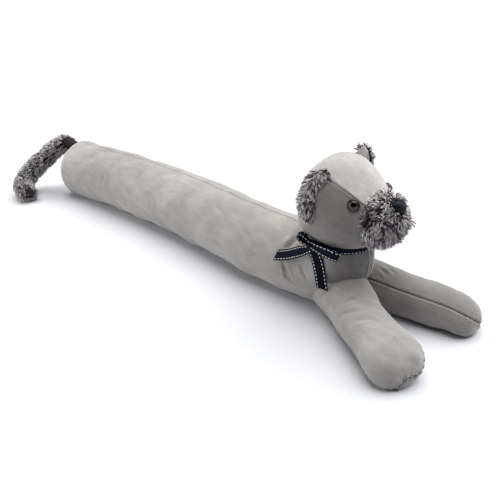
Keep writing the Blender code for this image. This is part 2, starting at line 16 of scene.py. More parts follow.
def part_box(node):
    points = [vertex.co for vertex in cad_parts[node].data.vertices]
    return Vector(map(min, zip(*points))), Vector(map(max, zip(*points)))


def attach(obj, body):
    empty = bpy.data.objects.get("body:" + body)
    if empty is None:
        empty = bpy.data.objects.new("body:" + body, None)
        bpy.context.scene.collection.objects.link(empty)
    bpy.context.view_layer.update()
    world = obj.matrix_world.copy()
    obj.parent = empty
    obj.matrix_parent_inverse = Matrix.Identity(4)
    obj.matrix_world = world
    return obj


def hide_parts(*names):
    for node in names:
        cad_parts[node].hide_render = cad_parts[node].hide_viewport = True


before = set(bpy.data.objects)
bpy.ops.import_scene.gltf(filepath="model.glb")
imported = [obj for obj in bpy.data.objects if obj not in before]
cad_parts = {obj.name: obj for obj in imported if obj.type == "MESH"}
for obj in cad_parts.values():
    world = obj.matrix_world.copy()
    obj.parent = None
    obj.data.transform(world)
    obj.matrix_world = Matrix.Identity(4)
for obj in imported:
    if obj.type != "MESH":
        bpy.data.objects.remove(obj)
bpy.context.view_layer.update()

SCENE = bpy.context.scene

# Shapes

BODY_TOP = 0.1065
BODY_LOW = -0.004
BODY_RADIUS = 0.054
BODY_END_X = -0.539
END_ROUNDING = 0.030

head_low, head_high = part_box("head")
SHIFT = Vector((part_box("torso")[0].x - BODY_END_X, (head_low.y + head_high.y) / 2, 0.0))

# the columns of a row's top and bottom that hold x, and those that hold z
ACROSS_ENDS, UPRIGHT = [0, 2], [1, 3]
# top x, top z, bottom x, bottom z, half width, middle y
TORSO = np.array([
    (-0.507, BODY_TOP - 0.0010, -0.507, BODY_LOW, 0.0530, 0.001),
    (-0.430, BODY_TOP + 0.0012, -0.430, BODY_LOW, 0.0540, 0.007),
    (-0.340, BODY_TOP + 0.0020, -0.340, BODY_LOW, 0.0545, 0.013),
    (-0.250, BODY_TOP + 0.0008, -0.250, BODY_LOW, 0.0540, 0.015),
    (-0.160, BODY_TOP + 0.0010, -0.160, BODY_LOW, 0.0545, 0.012),
    (-0.070, BODY_TOP - 0.0005, -0.070, BODY_LOW, 0.0545, 0.005),
    (-0.010, BODY_TOP - 0.0015, -0.010, BODY_LOW, 0.0545, 0.001),
    (0.030, 0.1050, 0.036, BODY_LOW, 0.0535, 0.000),
    (0.052, 0.1020, 0.075, BODY_LOW, 0.0515, 0.000),
    (0.064, 0.1010, 0.107, -0.002, 0.0500, 0.000),
    (0.070, 0.0995, 0.135, 0.009, 0.0490, 0.000),
    (0.0735, 0.0990, 0.158, 0.030, 0.0490, 0.000),
    (0.0755, 0.1000, 0.1705, 0.054, 0.0490, 0.000),
    (0.0770, 0.1030, 0.1758, 0.076, 0.0485, 0.000),
    (0.0780, 0.1090, 0.1738, 0.095, 0.0475, 0.000),
    (0.0785, 0.1160, 0.1705, 0.111, 0.0465, 0.000),
])
HEAD = np.array([
    (0.0840, 0.1860, 0.0850, 0.1140, 0.0400, 0.0),
    (0.0925, 0.2040, 0.0940, 0.1020, 0.0520, 0.0),
    (0.1085, 0.2155, 0.1095, 0.0965, 0.0590, 0.0),
    (0.1275, 0.2170, 0.1270, 0.0955, 0.0615, 0.0),
    (0.1460, 0.2095, 0.1440, 0.0970, 0.0585, 0.0),
    (0.1605, 0.1982, 0.1580, 0.1005, 0.0525, 0.0),
    (0.1735, 0.1855, 0.1690, 0.1055, 0.0455, 0.0),
    (0.1860, 0.1735, 0.1810, 0.1135, 0.0365, 0.0),
    (0.1950, 0.1625, 0.1900, 0.1255, 0.0255, 0.0),
])
JAW_FULLNESS = 2.5
# x along the leg, top z, bottom z, half width, middle y
FORELEG = np.array([
    (0.004, 0.058, -0.003, 0.0300, 0.000),
    (0.030, 0.063, -0.004, 0.0340, 0.002),
    (0.062, 0.061, -0.004, 0.0340, 0.003),
    (0.095, 0.057, -0.004, 0.0325, 0.001),
    (0.130, 0.055, -0.004, 0.0335, 0.000),
    (0.155, 0.055, -0.004, 0.0355, 0.000),
    (0.170, 0.053, -0.004, 0.0365, 0.000),
])
FORELEG_LENGTH = 0.199
# painted shade: each leg's tone darkens it, and its lower panel is darkened further; the far leg, under the
# head's shadow, is painted darkest
NEAR_LEG = dict(root=(0.118, -0.003), turn=-29.0, length=0.199, girth=1.02, crown=0.0035, seam=31,
                tone=0.93, lower_painted_shade=0.98, taper=0.0, sag=45)
FAR_LEG = dict(root=(0.107, 0.023), turn=12.5, length=0.203, girth=0.98, crown=0.0, seam=141,
               tone=0.82, lower_painted_shade=0.76, taper=0.0045, sag=0)
LEGS_MEET = (0.155, 0.0071)
LEGS_MEET_TURN = -8.5
# x, y, z, radius
TAIL = np.array([
    (-0.532, -0.001, 0.0940, 0.0165),
    (-0.549, -0.011, 0.1000, 0.0190),
    (-0.567, -0.027, 0.0895, 0.0210),
    (-0.5825, -0.0480, 0.0680, 0.0216),
    (-0.5965, -0.0735, 0.0440, 0.0216),
    (-0.5920, -0.0960, 0.0265, 0.0212),
    (-0.5710, -0.1085, 0.0205, 0.0212),
    (-0.5520, -0.1120, 0.0185, 0.0205),
])
# the ears' suede is painted this much lighter than the body's, as painted light on the same suede
FLAP_PAINTED_LIGHT = 1.35
# the line where the tail's pile parts
TAIL_PARTING = [(-0.5301, -0.0124, 0.1112), (-0.5350, -0.0186, 0.1062), (-0.5438, -0.0301, 0.0948),
                (-0.5537, -0.0425, 0.0818), (-0.5632, -0.0559, 0.0648), (-0.5710, -0.0682, 0.0477)]
STRAND_WIDTH = 0.0006
STRAND_DROOP = 0.15
MUZZLE_CENTRE = np.array((0.1832, 0.0, 0.1468))
MUZZLE_SIZE = np.array((0.0372, 0.0412, 0.0388))
MUZZLE_TILT = math.radians(12)
# where the strands are painted dark, for their dark roots where the pile parts and for painted shade at the
# muzzle's rim and beside the nose: middle, reach
MUZZLE_SHADES = [
    (np.array((x, side * y, z)), reach)
    for side in (-1, 1)
    for x, y, z, reach in ((0.1862, 0.0265, 0.1680, 0.0050), (0.1858, 0.0295, 0.1635, 0.0065),
                           (0.1868, 0.0318, 0.1580, 0.0065), (0.1868, 0.0335, 0.1520, 0.0055))
] + [(np.array((0.1960, 0.0170, 0.1740)), 0.0045), (np.array((0.2070, 0.0090, 0.1730)), 0.0040)]
NOSE_CENTRE = Vector((0.2068, 0.0, 0.1690))
EYE_CENTRE = Vector((0.1680, 0.0393, 0.1717))

# sewn edge x y z, free edge x y z, bulge
RIGHT_EAR = np.array([
    (0.1365, -0.0435, 0.1946, 0.1295, -0.0442, 0.2105, 0.000),
    (0.1283, -0.0500, 0.1891, 0.1155, -0.0475, 0.2075, 0.003),
    (0.1246, -0.0563, 0.1796, 0.1058, -0.0572, 0.1935, 0.005),
    (0.1239, -0.0603, 0.1675, 0.1030, -0.0620, 0.1772, 0.005),
    (0.1241, -0.0615, 0.1547, 0.1040, -0.0638, 0.1608, 0.005),
    (0.1230, -0.0605, 0.1450, 0.1075, -0.0628, 0.1480, 0.003),
    (0.1194, -0.0583, 0.1370, 0.1115, -0.0600, 0.1375, 0.001),
])
LEFT_EAR = np.array([
    (0.1365, 0.0435, 0.1946, 0.1317, 0.0448, 0.2160, 0.000),
    (0.1283, 0.0500, 0.1891, 0.1215, 0.0515, 0.2200, 0.003),
    (0.1246, 0.0563, 0.1796, 0.1070, 0.0590, 0.2125, 0.005),
    (0.1239, 0.0603, 0.1675, 0.1005, 0.0685, 0.1960, 0.005),
    (0.1241, 0.0615, 0.1547, 0.0975, 0.0705, 0.1760, 0.005),
    (0.1230, 0.0605, 0.1450, 0.1005, 0.0675, 0.1560, 0.003),
    (0.1194, 0.0583, 0.1370, 0.1075, 0.0610, 0.1400, 0.001),
])
RIBBON_WIDTH = 0.015
RIBBON_THICKNESS = 0.0008
KNOT_CENTRE = Vector((0.1220, -0.0555, 0.1085))
KNOT_SIZE = Vector((0.0075, 0.0048, 0.0080))
# x, y, z, across x, across y, across z
BACK_LOOP = np.array([
    (0.1214, -0.0559, 0.1110, 0.38, -0.925, 0.033),
    (0.1172, -0.0577, 0.1160, 0.38, -0.925, 0.033),
    (0.1130, -0.0596, 0.1206, 0.38, -0.925, 0.033),
    (0.1092, -0.0617, 0.1232, 0.38, -0.925, 0.033),
    (0.1066, -0.0640, 0.1229, 0.38, -0.925, 0.033),
    (0.1070, -0.0652, 0.1200, 0.38, -0.925, 0.033),
    (0.1102, -0.0644, 0.1164, 0.38, -0.925, 0.033),
    (0.1155, -0.0614, 0.1125, 0.38, -0.925, 0.033),
    (0.1206, -0.0581, 0.1090, 0.38, -0.925, 0.033),
])
FRONT_LOOP = np.array([
    (0.1210, -0.0575, 0.1110, 0.10, 0.00, 1.00),
    (0.1300, -0.0615, 0.1114, 0.15, 0.00, 0.98),
    (0.1410, -0.0610, 0.1098, 0.20, 0.00, 0.96),
    (0.1510, -0.0582, 0.1074, 0.30, 0.00, 0.94),
    (0.1580, -0.0543, 0.1045, 0.40, 0.00, 0.91),
    (0.1600, -0.0503, 0.1028, 0.42, 0.00, 0.90),
    (0.1545, -0.0487, 0.1030, 0.40, 0.00, 0.91),
    (0.1450, -0.0508, 0.1043, 0.30, 0.00, 0.94),
    (0.1340, -0.0538, 0.1065, 0.20, 0.00, 0.96),
    (0.1215, -0.0550, 0.1085, 0.10, 0.00, 1.00),
])
BACK_END = np.array([
    (0.1195, -0.0548, 0.1030, -0.10, 0.10, 0.98),
    (0.1070, -0.0546, 0.0955, -0.15, 0.16, 0.97),
    (0.0920, -0.0532, 0.0865, -0.22, 0.25, 0.93),
    (0.0780, -0.0520, 0.0785, -0.30, 0.32, 0.89),
    (0.0665, -0.0517, 0.0738, -0.35, 0.36, 0.86),
    (0.0590, -0.0522, 0.0712, -0.38, 0.36, 0.85),
])
FRONT_END = np.array([
    (0.1225, -0.0545, 0.1055, 0.95, 0.25, 0.12),
    (0.1262, -0.0532, 0.0955, 0.93, 0.32, 0.12),
    (0.1305, -0.0520, 0.0840, 0.90, 0.40, 0.13),
    (0.1345, -0.0520, 0.0720, 0.88, 0.44, 0.15),
    (0.1388, -0.0535, 0.0600, 0.88, 0.42, 0.17),
    (0.1420, -0.0550, 0.0520, 0.89, 0.38, 0.18),
])

# Folds: points along the crease, depth, half width
TORSO_FOLDS = [
    ([(0.0693, -0.0482, 0.0656), (0.0739, -0.0501, 0.0556), (0.0788, -0.0501, 0.0432),
      (0.0859, -0.0485, 0.0366)], 0.0038, 0.0021),
    ([(0.0746, -0.0482, 0.0644), (0.0790, -0.0501, 0.0538), (0.0845, -0.0498, 0.0432),
      (0.0920, -0.0487, 0.0360)], 0.0030, 0.0019),
    ([(0.0703, -0.0209, 0.0961), (0.0731, -0.0326, 0.0889), (0.0699, -0.0391, 0.0825),
      (0.0645, -0.0431, 0.0775)], 0.0046, 0.0040),
    ([(0.0990, -0.0464, 0.0727), (0.1049, -0.0487, 0.0606), (0.1136, -0.0483, 0.0515)],
     0.0018, 0.0022),
    ([(-0.2398, -0.0381, 0.0659), (-0.2399, -0.0399, 0.0553), (-0.2408, -0.0396, 0.0436)],
     0.0014, 0.0017),
    ([(-0.2263, -0.0361, 0.0727), (-0.2249, -0.0399, 0.0595), (-0.2270, -0.0403, 0.0460)],
     0.0017, 0.0017),
    ([(-0.2097, -0.0363, 0.0737), (-0.2093, -0.0396, 0.0639), (-0.2100, -0.0410, 0.0549)],
     0.0013, 0.0018),
    ([(-0.1620, -0.0357, 0.0779), (-0.1477, -0.0400, 0.0710), (-0.1305, -0.0424, 0.0682)],
     0.0012, 0.0026),
    ([(0.0277, -0.0456, 0.0813), (0.0409, -0.0517, 0.0692), (0.0562, -0.0541, 0.0599)],
     0.0016, 0.0034),
    ([(-0.0890, -0.0256, 0.0955), (-0.0651, -0.0339, 0.0901), (-0.0522, -0.0426, 0.0803)],
     0.0013, 0.0036),
    ([(-0.4006, -0.0296, 0.0901), (-0.3772, -0.0382, 0.0761), (-0.3763, -0.0441, 0.0542)],
     0.0011, 0.0034),
    ([(-0.0215, -0.0395, 0.0872), (-0.0023, -0.0469, 0.0782), (0.0101, -0.0516, 0.0680)],
     0.0014, 0.0036),
    ([(0.0700, 0.0209, 0.0961), (0.0730, 0.0330, 0.0880), (0.0690, 0.0410, 0.0780),
      (0.0640, 0.0460, 0.0660)], 0.0040, 0.0040),
    ([(0.0693, 0.0482, 0.0656), (0.0739, 0.0501, 0.0556), (0.0790, 0.0501, 0.0420)],
     0.0032, 0.0021),
    ([(0.0746, 0.0482, 0.0644), (0.0790, 0.0501, 0.0538), (0.0845, 0.0498, 0.0432)],
     0.0024, 0.0019),
    ([(-0.2300, 0.0640, 0.0727), (-0.2290, 0.0690, 0.0560), (-0.2310, 0.0680, 0.0430)],
     0.0015, 0.0018),
    ([(-0.3600, 0.0600, 0.0800), (-0.3450, 0.0670, 0.0640), (-0.3400, 0.0690, 0.0480)],
     0.0012, 0.0032),
    ([(-0.0600, 0.0450, 0.0880), (-0.0450, 0.0540, 0.0760), (-0.0350, 0.0580, 0.0600)],
     0.0014, 0.0034),
]
NEAR_LEG_FOLDS = [
    ([(0.1793, -0.0631, 0.0477), (0.1880, -0.0551, 0.0552), (0.1964, -0.0459, 0.0575)],
     0.0019, 0.0026),
    ([(0.1849, -0.0739, 0.0362), (0.1990, -0.0704, 0.0497), (0.2132, -0.0645, 0.0547)],
     0.0018, 0.0028),
    ([(0.2091, -0.0842, 0.0423), (0.2194, -0.0778, 0.0512), (0.2322, -0.0725, 0.0545)],
     0.0015, 0.0030),
]
FAR_LEG_FOLDS = [
    ([(0.1712, 0.0313, 0.0597), (0.1793, 0.0311, 0.0583), (0.1891, 0.0281, 0.0555)],
     0.0020, 0.0022),
    ([(0.1762, 0.0436, 0.0598), (0.1861, 0.0402, 0.0587), (0.1965, 0.0359, 0.0567)],
     0.0016, 0.0024),
]


def smooth_rows(table, steps):
    """The table's rows again, `steps` of them, read off a smooth curve through every column."""
    gaps = np.linalg.norm(np.diff(table, axis=0), axis=1)
    knots = np.concatenate([[0.0], np.cumsum(gaps)])
    slopes = np.gradient(table, knots, axis=0)
    wanted = np.linspace(0.0, knots[-1], steps)
    index = np.clip(np.searchsorted(knots, wanted, side="right") - 1, 0, len(table) - 2)
    span = (knots[index + 1] - knots[index])[:, None]
    t = (wanted - knots[index])[:, None] / span
    start, end = table[index], table[index + 1]
    return (
        (2 * t**3 - 3 * t**2 + 1) * start
        + (t**3 - 2 * t**2 + t) * slopes[index] * span
        + (3 * t**2 - 2 * t**3) * end
        + (t**3 - t**2) * slopes[index + 1] * span
    )


def unit(v):
    return v / np.maximum(np.linalg.norm(v, axis=-1, keepdims=True), 1e-12)


def even_angles(count):
    return np.arange(count) * 2 * math.pi / count


def bell(distance, width):
    """1 at no distance, fading to 0 over about two widths."""
    return np.exp(-((distance / width) ** 2))


def moved(row, columns, step):
    row = row.copy()
    row[columns] += step
    return row


def with_ends(rows, before, after, after_columns):
    """The rows between shrunk copies of the first and of the last, and the scale of each row.

    before and after give each copy's scale and how far its columns move.
    """
    start = [moved(rows[0], ACROSS_ENDS, step) for _, step in before]
    stop = [moved(rows[-1], after_columns, step) for _, step in after]
    scales = [share for share, _ in before] + [1.0] * len(rows) + [share for share, _ in after]
    return np.array(start + list(rows) + stop), scales


def nearest_angle(angles, degrees):
    """The place in angles of the one nearest to this many degrees."""
    return int(np.argmin(abs(np.remainder(angles - math.radians(degrees) + 1, 2 * math.pi) - 1)))


# Meshes

def make_mesh(name, points, faces):
    mesh = bpy.data.meshes.new(name)
    mesh.from_pydata([tuple(p) for p in points], [], faces)
    mesh.update()
    return mesh


def face_outward(mesh, merge=0.0):
    """Turns every face outward, and merges points that are closer than merge."""
    bm = bmesh.new()
    bm.from_mesh(mesh)
    if merge:
        bmesh.ops.remove_doubles(bm, verts=bm.verts, dist=merge)
    bmesh.ops.recalc_face_normals(bm, faces=bm.faces)
    bm.to_mesh(mesh)
    bm.free()
    mesh.update()


def mark_points(mesh, name, values):
    """Keeps one number for each vertex, for a material to read."""
    mark = mesh.attributes.new(name, "FLOAT", "POINT")
    mark.data.foreach_set("value", np.asarray(values, np.float32))


def round_rings(line, side, upward, size, angles):
    """Round rings of the sizes given, one about each point of the line."""
    wide = size[:, None] * np.cos(angles)
    high = size[:, None] * np.sin(angles)
    return line[:, None] + side[:, None] * wide[:, :, None] + upward[:, None] * high[:, :, None]


def tree_of(points):
    tree = KDTree(len(points))
    for i, point in enumerate(points):
        tree.insert(point, i)
    tree.balance()
    return tree


def tube_faces(rows, around):
    """Quads between rings, then a fan on the point after the last ring and the one after that."""
    i = np.arange(rows - 1)[:, None] * around
    k = np.arange(around)[None, :]
    j = (k + 1) % around
    quads = np.stack([i + k, i + j, i + around + j, i + around + k], -1).reshape(-1, 4)
    faces = quads.tolist()
    first, last = rows * around, rows * around + 1
    base = (rows - 1) * around
    for k in range(around):
        j = (k + 1) % around
        faces.append((j, k, first))
        faces.append((base + k, base + j, last))
    return faces


def tube_points(rings):
    """Ring points in one list, with the middle of the first and of the last ring after them."""
    return np.concatenate([rings.reshape(-1, 3), rings[:1].mean(1), rings[-1:].mean(1)])


def angles_with_seams(around, seams, radius):
    """Even angles round a tube, with more of them beside each seam."""
    beside = (-0.0034, -0.0024, -0.0016, -0.001, -0.0005, 0, 0.0005, 0.001, 0.0016, 0.0024, 0.0034)
    extra = np.mod([math.radians(s) + d / radius for s in seams for d in beside], 2 * math.pi)
    clear = [
        a for a in even_angles(around)
        if all(abs(math.remainder(a - math.radians(s), 2 * math.pi)) > 0.0042 / radius for s in seams)
    ]
    return np.sort(np.concatenate([clear, extra]))


def slice_rings(rows, angles, scale=1.0, fullness=2.0):
    """Ovals through the rows; a fullness over 2 rounds out their lower half."""
    angles = np.broadcast_to(angles, (len(rows), np.shape(angles)[-1]))
    top = rows[:, [0, 5, 1]]
    bottom = rows[:, [2, 5, 3]]
    side = np.zeros_like(top)
    side[:, 1] = rows[:, 4]
    scale = np.broadcast_to(np.asarray(scale, float).reshape(-1, 1, 1), (len(rows), 1, 1))
    middle = ((top + bottom) / 2)[:, None, :]
    power = np.where(np.sin(angles) < 0, fullness, 2.0)
    swell = (abs(np.cos(angles)) ** power + abs(np.sin(angles)) ** power) ** (-1 / power)
    wide = side[:, None, :] * (np.cos(angles) * swell)[:, :, None]
    high = ((top - bottom) / 2)[:, None, :] * (np.sin(angles) * swell)[:, :, None]
    return middle + (wide + high) * scale


def vectors_of(mesh, kind="co"):
    found = np.zeros(len(mesh.vertices) * 3, np.float32)
    mesh.vertices.foreach_get(kind, found)
    return found.reshape(-1, 3).astype(float)


def set_coords(mesh, points):
    mesh.vertices.foreach_set("co", points.astype(np.float32).ravel())
    mesh.update()


def refine_line(points, step=0.004):
    """A smooth line through the points, with one about every `step`."""
    table = np.array(points, float)
    length = np.linalg.norm(np.diff(table, axis=0), axis=1).sum()
    return smooth_rows(table, max(4, int(length / step) + 2))


def along_line(co, line, reach):
    """For each vertex: its distance from the line, and how far along the line that is, 0 to 1."""
    distance = np.full(len(co), 1.0)
    place = np.zeros(len(co))
    lengths = np.concatenate([[0], np.cumsum(np.linalg.norm(np.diff(line, axis=0), axis=1))])
    low, high = line.min(0) - reach, line.max(0) + reach
    near = np.where(((co > low) & (co < high)).all(1))[0]
    part = co[near]
    best, where = np.full(len(near), 1.0), np.zeros(len(near))
    for a, b, start, end in zip(line, line[1:], lengths, lengths[1:]):
        d = b - a
        t = np.clip(((part - a) @ d) / max(d @ d, 1e-12), 0, 1)
        off = np.linalg.norm(part - (a + t[:, None] * d), axis=1)
        closer = off < best
        best[closer] = off[closer]
        where[closer] = (start + t * (end - start))[closer] / lengths[-1]
    distance[near], place[near] = best, where
    return distance, place, lengths[-1]


def rough(points, wavelength, seed):
    """A smooth uneven value at each point, about -1 to 1, from crossing waves."""
    draw = np.random.default_rng(seed)
    total = np.zeros(len(points))
    for _ in range(14):
        way = unit(draw.normal(size=3))
        wave = 2 * math.pi / (wavelength * draw.uniform(0.7, 1.7))
        total += np.sin(points @ way * wave + draw.uniform(0, 2 * math.pi))
    return total / 3.2


class Skin:
    """A suede piece while its seams and folds are pressed in."""

    def __init__(self, name, points, faces):
        self.mesh = make_mesh(name, points, faces)
        face_outward(self.mesh)
        self.co = vectors_of(self.mesh)
        self.normal = vectors_of(self.mesh, "normal")
        self.move = np.zeros(len(self.co))
        self.seam = np.zeros(len(self.co))
        self.tone = np.ones(len(self.co))

    def lumps(self, amount, wavelength, seed):
        self.move += amount * rough(self.co, wavelength, seed)

    def panel(self, angles, start, stop):
        """The vertices of the panel past two seams, from the angle stop round to start."""
        turn = np.degrees(np.tile(angles, (len(self.co) - 2) // len(angles)))
        past = np.remainder(turn - start, 360) > stop - start
        return np.concatenate([past, [False, False]])

    def fold(self, points, depth, width):
        line = refine_line(points)
        distance, place, _ = along_line(self.co, line, width * 5)
        ends = np.sin(np.pi * np.clip(place, 0.02, 0.98)) ** 0.8
        x = distance / width
        shape = -np.exp(-x * x) + 0.38 * np.exp(-((x - 2.1) ** 2) / 0.8)
        self.move += depth * ends * shape

    def sew(self, points, depth=0.0013, width=0.0011, pucker=0.0003, spacing=0.0075, seed=1):
        """A seam: a narrow groove between two soft lips, with small puckers across it."""
        line = refine_line(points, 0.003)
        distance, place, length = along_line(self.co, line, 0.014)
        x = distance / width
        uneven = 1 + 0.25 * np.sin(place * length / 0.031 * 2 * np.pi + seed)
        groove = -depth * np.exp(-x * x) * uneven
        lips = 0.30 * depth * np.exp(-((x - 3.0) ** 2) / 3.0)
        phase = place * length / spacing * 2 * np.pi + 1.5 * np.sin(place * length / 0.023 + seed)
        ripple = pucker * np.sin(phase) * bell(distance, 0.0055)
        self.move += groove + lips + ripple
        # the seam mark is read as painted shade in the groove
        self.seam = np.maximum(self.seam, bell(distance, 0.0009))

    def settle(self):
        """Moves the skin, flattens it on the floor and gives back its mesh."""
        moved = self.co + self.normal * self.move[:, None]
        moved[:, 2] = np.maximum(moved[:, 2], 0.0)
        set_coords(self.mesh, moved)
        mark_points(self.mesh, "seam", self.seam)
        # the tone holds the painted light and shade for the suede colour
        mark_points(self.mesh, "nap_and_painted_light", self.tone)
        self.mesh.shade_smooth()
        return self.mesh


def add_object(name, data):
    obj = bpy.data.objects.new(name, data)
    SCENE.collection.objects.link(obj)
    return obj


def place(name, mesh, materials, nodes, slot):
    """Links a mesh drawn in the drawing frame as a piece that stands for the CAD nodes."""
    mesh.transform(Matrix.Translation(SHIFT))
    obj = add_object(name, mesh)
    for m in materials:
        mesh.materials.append(m)
    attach(obj, "root")
    if nodes:
        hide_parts(*nodes)
    return obj


# Materials

def grey(value):
    return (value, value, value)


class Nodes:
    """Short names for building one node material."""

    def __init__(self, name):
        self.material = bpy.data.materials.new(name)
        self.material.use_nodes = True
        self.tree = self.material.node_tree
        self.shader = self.tree.nodes["Principled BSDF"]

    def add(self, kind, **settings):
        node = self.tree.nodes.new(kind)
        for key, value in settings.items():
            if key in node.inputs:
                node.inputs[key].default_value = value
            else:
                setattr(node, key, value)
        return node

    def link(self, out, socket):
        self.tree.links.new(out, socket)

    def object_coords(self):
        return self.add("ShaderNodeTexCoord").outputs["Object"]

    def noise(self, coords, scale, detail=2.0, roughness=0.5):
        node = self.add("ShaderNodeTexNoise", Scale=scale, Detail=detail, Roughness=roughness)
        self.link(coords, node.inputs["Vector"])
        return node.outputs["Fac"]

    def stretched(self, coords, scale):
        node = self.add("ShaderNodeMapping")
        node.inputs["Scale"].default_value = scale
        self.link(coords, node.inputs["Vector"])
        return node.outputs["Vector"]

    def ramp(self, value, stops):
        node = self.add("ShaderNodeValToRGB")
        while len(node.color_ramp.elements) < len(stops):
            node.color_ramp.elements.new(0.5)
        for element, (place_at, colour) in zip(node.color_ramp.elements, stops):
            element.position = place_at
            element.color = (*colour, 1.0) if len(colour) == 3 else colour
        self.link(value, node.inputs["Fac"])
        return node.outputs["Color"]

    def mix(self, share, first, second, blend="MIX"):
        node = self.add("ShaderNodeMix", data_type="RGBA", blend_type=blend)
        sockets = {s.identifier: s for s in node.inputs}
        for value, key in ((share, "Factor_Float"), (first, "A_Color"), (second, "B_Color")):
            if isinstance(value, (int, float)):
                sockets[key].default_value = value
            elif isinstance(value, tuple):
                sockets[key].default_value = (*value, 1.0)
            else:
                self.link(value, sockets[key])
        return {s.identifier: s for s in node.outputs}["Result_Color"]

    def times(self, first, second):
        return self.mix(1.0, first, second, "MULTIPLY")

    def math(self, kind, a, b=0.0):
        node = self.add("ShaderNodeMath", operation=kind)
        for i, value in enumerate((a, b)):
            if isinstance(value, (int, float)):
                node.inputs[i].default_value = value
            else:
                self.link(value, node.inputs[i])
        return node.outputs[0]

    def attribute(self, name, output="Fac"):
        return self.add("ShaderNodeAttribute", attribute_name=name).outputs[output]

    def bump(self, height, distance, strength=1.0, onto=None):
        node = self.add("ShaderNodeBump", Distance=distance, Strength=strength)
        self.link(height, node.inputs["Height"])
        if onto:
            self.link(onto, node.inputs["Normal"])
        return node.outputs["Normal"]

    def set(self, **values):
        for key, value in values.items():
            self.shader.inputs[key.replace("_", " ")].default_value = value


def suede_material():
    n = Nodes("grey_suede")
    at = n.object_coords()
    broad = n.noise(at, 16.0, 3.0, 0.55)
    nap_and_painted_light = n.ramp(broad, [(0.30, (0.275, 0.268, 0.260)), (0.52, (0.330, 0.322, 0.312)),
                         (0.72, (0.370, 0.362, 0.350))])
    brushed = n.noise(n.stretched(at, (34.0, 80.0, 80.0)), 1.0, 5.0, 0.68)
    brushed = n.ramp(brushed, [(0.3, grey(0.86)), (0.7, grey(1.08))])
    colour = n.times(nap_and_painted_light, brushed)
    grain = n.noise(at, 750.0, 3.0, 0.7)
    speckle = n.ramp(grain, [(0.25, grey(0.78)), (0.75, grey(1.16))])
    colour = n.mix(0.85, colour, n.times(colour, speckle))
    # painted light and shade: each vertex's tone, kept on the skin, scales the colour
    colour = n.times(colour, n.attribute("nap_and_painted_light", "Vector"))
    # painted shade darkens the narrow seam grooves
    colour = n.mix(n.math("MULTIPLY", n.attribute("seam"), 0.50), colour, (0.10, 0.098, 0.10))
    n.link(colour, n.shader.inputs["Base Color"])
    n.set(Roughness=0.88, Specular_IOR_Level=0.25, Sheen_Weight=0.55, Sheen_Roughness=0.45)
    n.set(Sheen_Tint=(0.92, 0.91, 0.90, 1.0))
    pores = n.bump(grain, 0.0002, 0.6)
    n.link(n.bump(n.noise(at, 260.0, 3.0, 0.6), 0.0004, 0.5, pores), n.shader.inputs["Normal"])
    return n.material


def pile_material():
    """Strands: dark at the root and frosted at the tip, with a few dark locks."""
    n = Nodes("frosted_pile")
    channels = n.add("ShaderNodeSeparateColor")
    n.link(n.attribute("pile", "Color"), channels.inputs["Color"])
    along, each, lock = (channels.outputs[k] for k in ("Red", "Green", "Blue"))
    shifted = n.math("ADD", along, n.math("MULTIPLY", n.math("SUBTRACT", lock, 0.5), 0.30))
    shade = n.ramp(shifted, [(0.04, (0.022, 0.015, 0.022)), (0.20, (0.075, 0.052, 0.064)),
                             (0.34, (0.60, 0.55, 0.56)), (0.52, (1.0, 0.98, 0.98))])
    tone = n.ramp(each, [(0.0, (0.80, 0.78, 0.80)), (1.0, (1.04, 1.03, 1.03))])
    dark_locks = n.ramp(lock, [(0.12, (0.14, 0.12, 0.14)), (0.20, (1.0, 1.0, 1.0))])
    n.link(n.times(n.times(shade, tone), dark_locks), n.shader.inputs["Base Color"])
    n.set(Roughness=0.55, Specular_IOR_Level=0.35)
    return n.material


def mottled_material(name, scale, detail, roughness, dark, pale, depth, strength, **values):
    """Two mixed tones, with a fine relief of the same pattern."""
    n = Nodes(name)
    patch = n.noise(n.object_coords(), scale, detail, roughness)
    n.link(n.ramp(patch, [(0.3, dark), (0.7, pale)]), n.shader.inputs["Base Color"])
    n.set(**values)
    n.link(n.bump(patch, depth, strength), n.shader.inputs["Normal"])
    return n.material


def ribbon_material():
    n = Nodes("navy_ribbon")
    uv = n.add("ShaderNodeUVMap", uv_map="along").outputs["UV"]
    ribs = n.add("ShaderNodeTexWave", Scale=1.0, Distortion=0.0, bands_direction="X")
    n.link(n.stretched(uv, (230.0, 1.0, 1.0)), ribs.inputs["Vector"])
    wear = n.noise(n.object_coords(), 160.0, 2.0, 0.5)
    base = n.ramp(wear, [(0.3, (0.0022, 0.0036, 0.0095)), (0.7, (0.0042, 0.0062, 0.0150))])
    lines = n.ramp(ribs.outputs["Fac"], [(0.0, grey(0.5)), (1.0, grey(1.5))])
    n.link(n.mix(0.35, base, n.times(base, lines)), n.shader.inputs["Base Color"])
    n.set(Roughness=0.75, Specular_IOR_Level=0.09)
    n.link(n.bump(ribs.outputs["Fac"], 0.00012, 0.7), n.shader.inputs["Normal"])
    return n.material


def thread_material(name, colour, roughness):
    dark = tuple(c * 0.78 for c in colour)
    return mottled_material(name, 1400.0, 2.0, 0.6, dark, colour, 0.0001, 0.6,
                            Roughness=roughness, Specular_IOR_Level=0.3)


def eye_material():
    """Moulded eye: the ring's place on the dome is kept in the attribute ring, 0 at the middle."""
    n = Nodes("moulded_eye")
    ring = n.attribute("ring")
    marble = n.noise(n.object_coords(), 900.0, 2.0, 0.5)
    iris = n.ramp(marble, [(0.3, (0.020, 0.016, 0.015)), (0.7, (0.044, 0.036, 0.033))])
    colour = n.ramp(ring, [(0.0, (0.003, 0.003, 0.004)), (0.40, (0.003, 0.003, 0.004)),
                           (0.44, grey(1.0)), (0.74, grey(0.75)),
                           (0.80, (0.18, 0.12, 0.12)), (1.0, (0.14, 0.09, 0.09))])
    n.link(n.times(iris, colour), n.shader.inputs["Base Color"])
    n.set(Roughness=0.22, Specular_IOR_Level=0.30, Coat_Weight=0.25, Coat_Roughness=0.08)
    return n.material


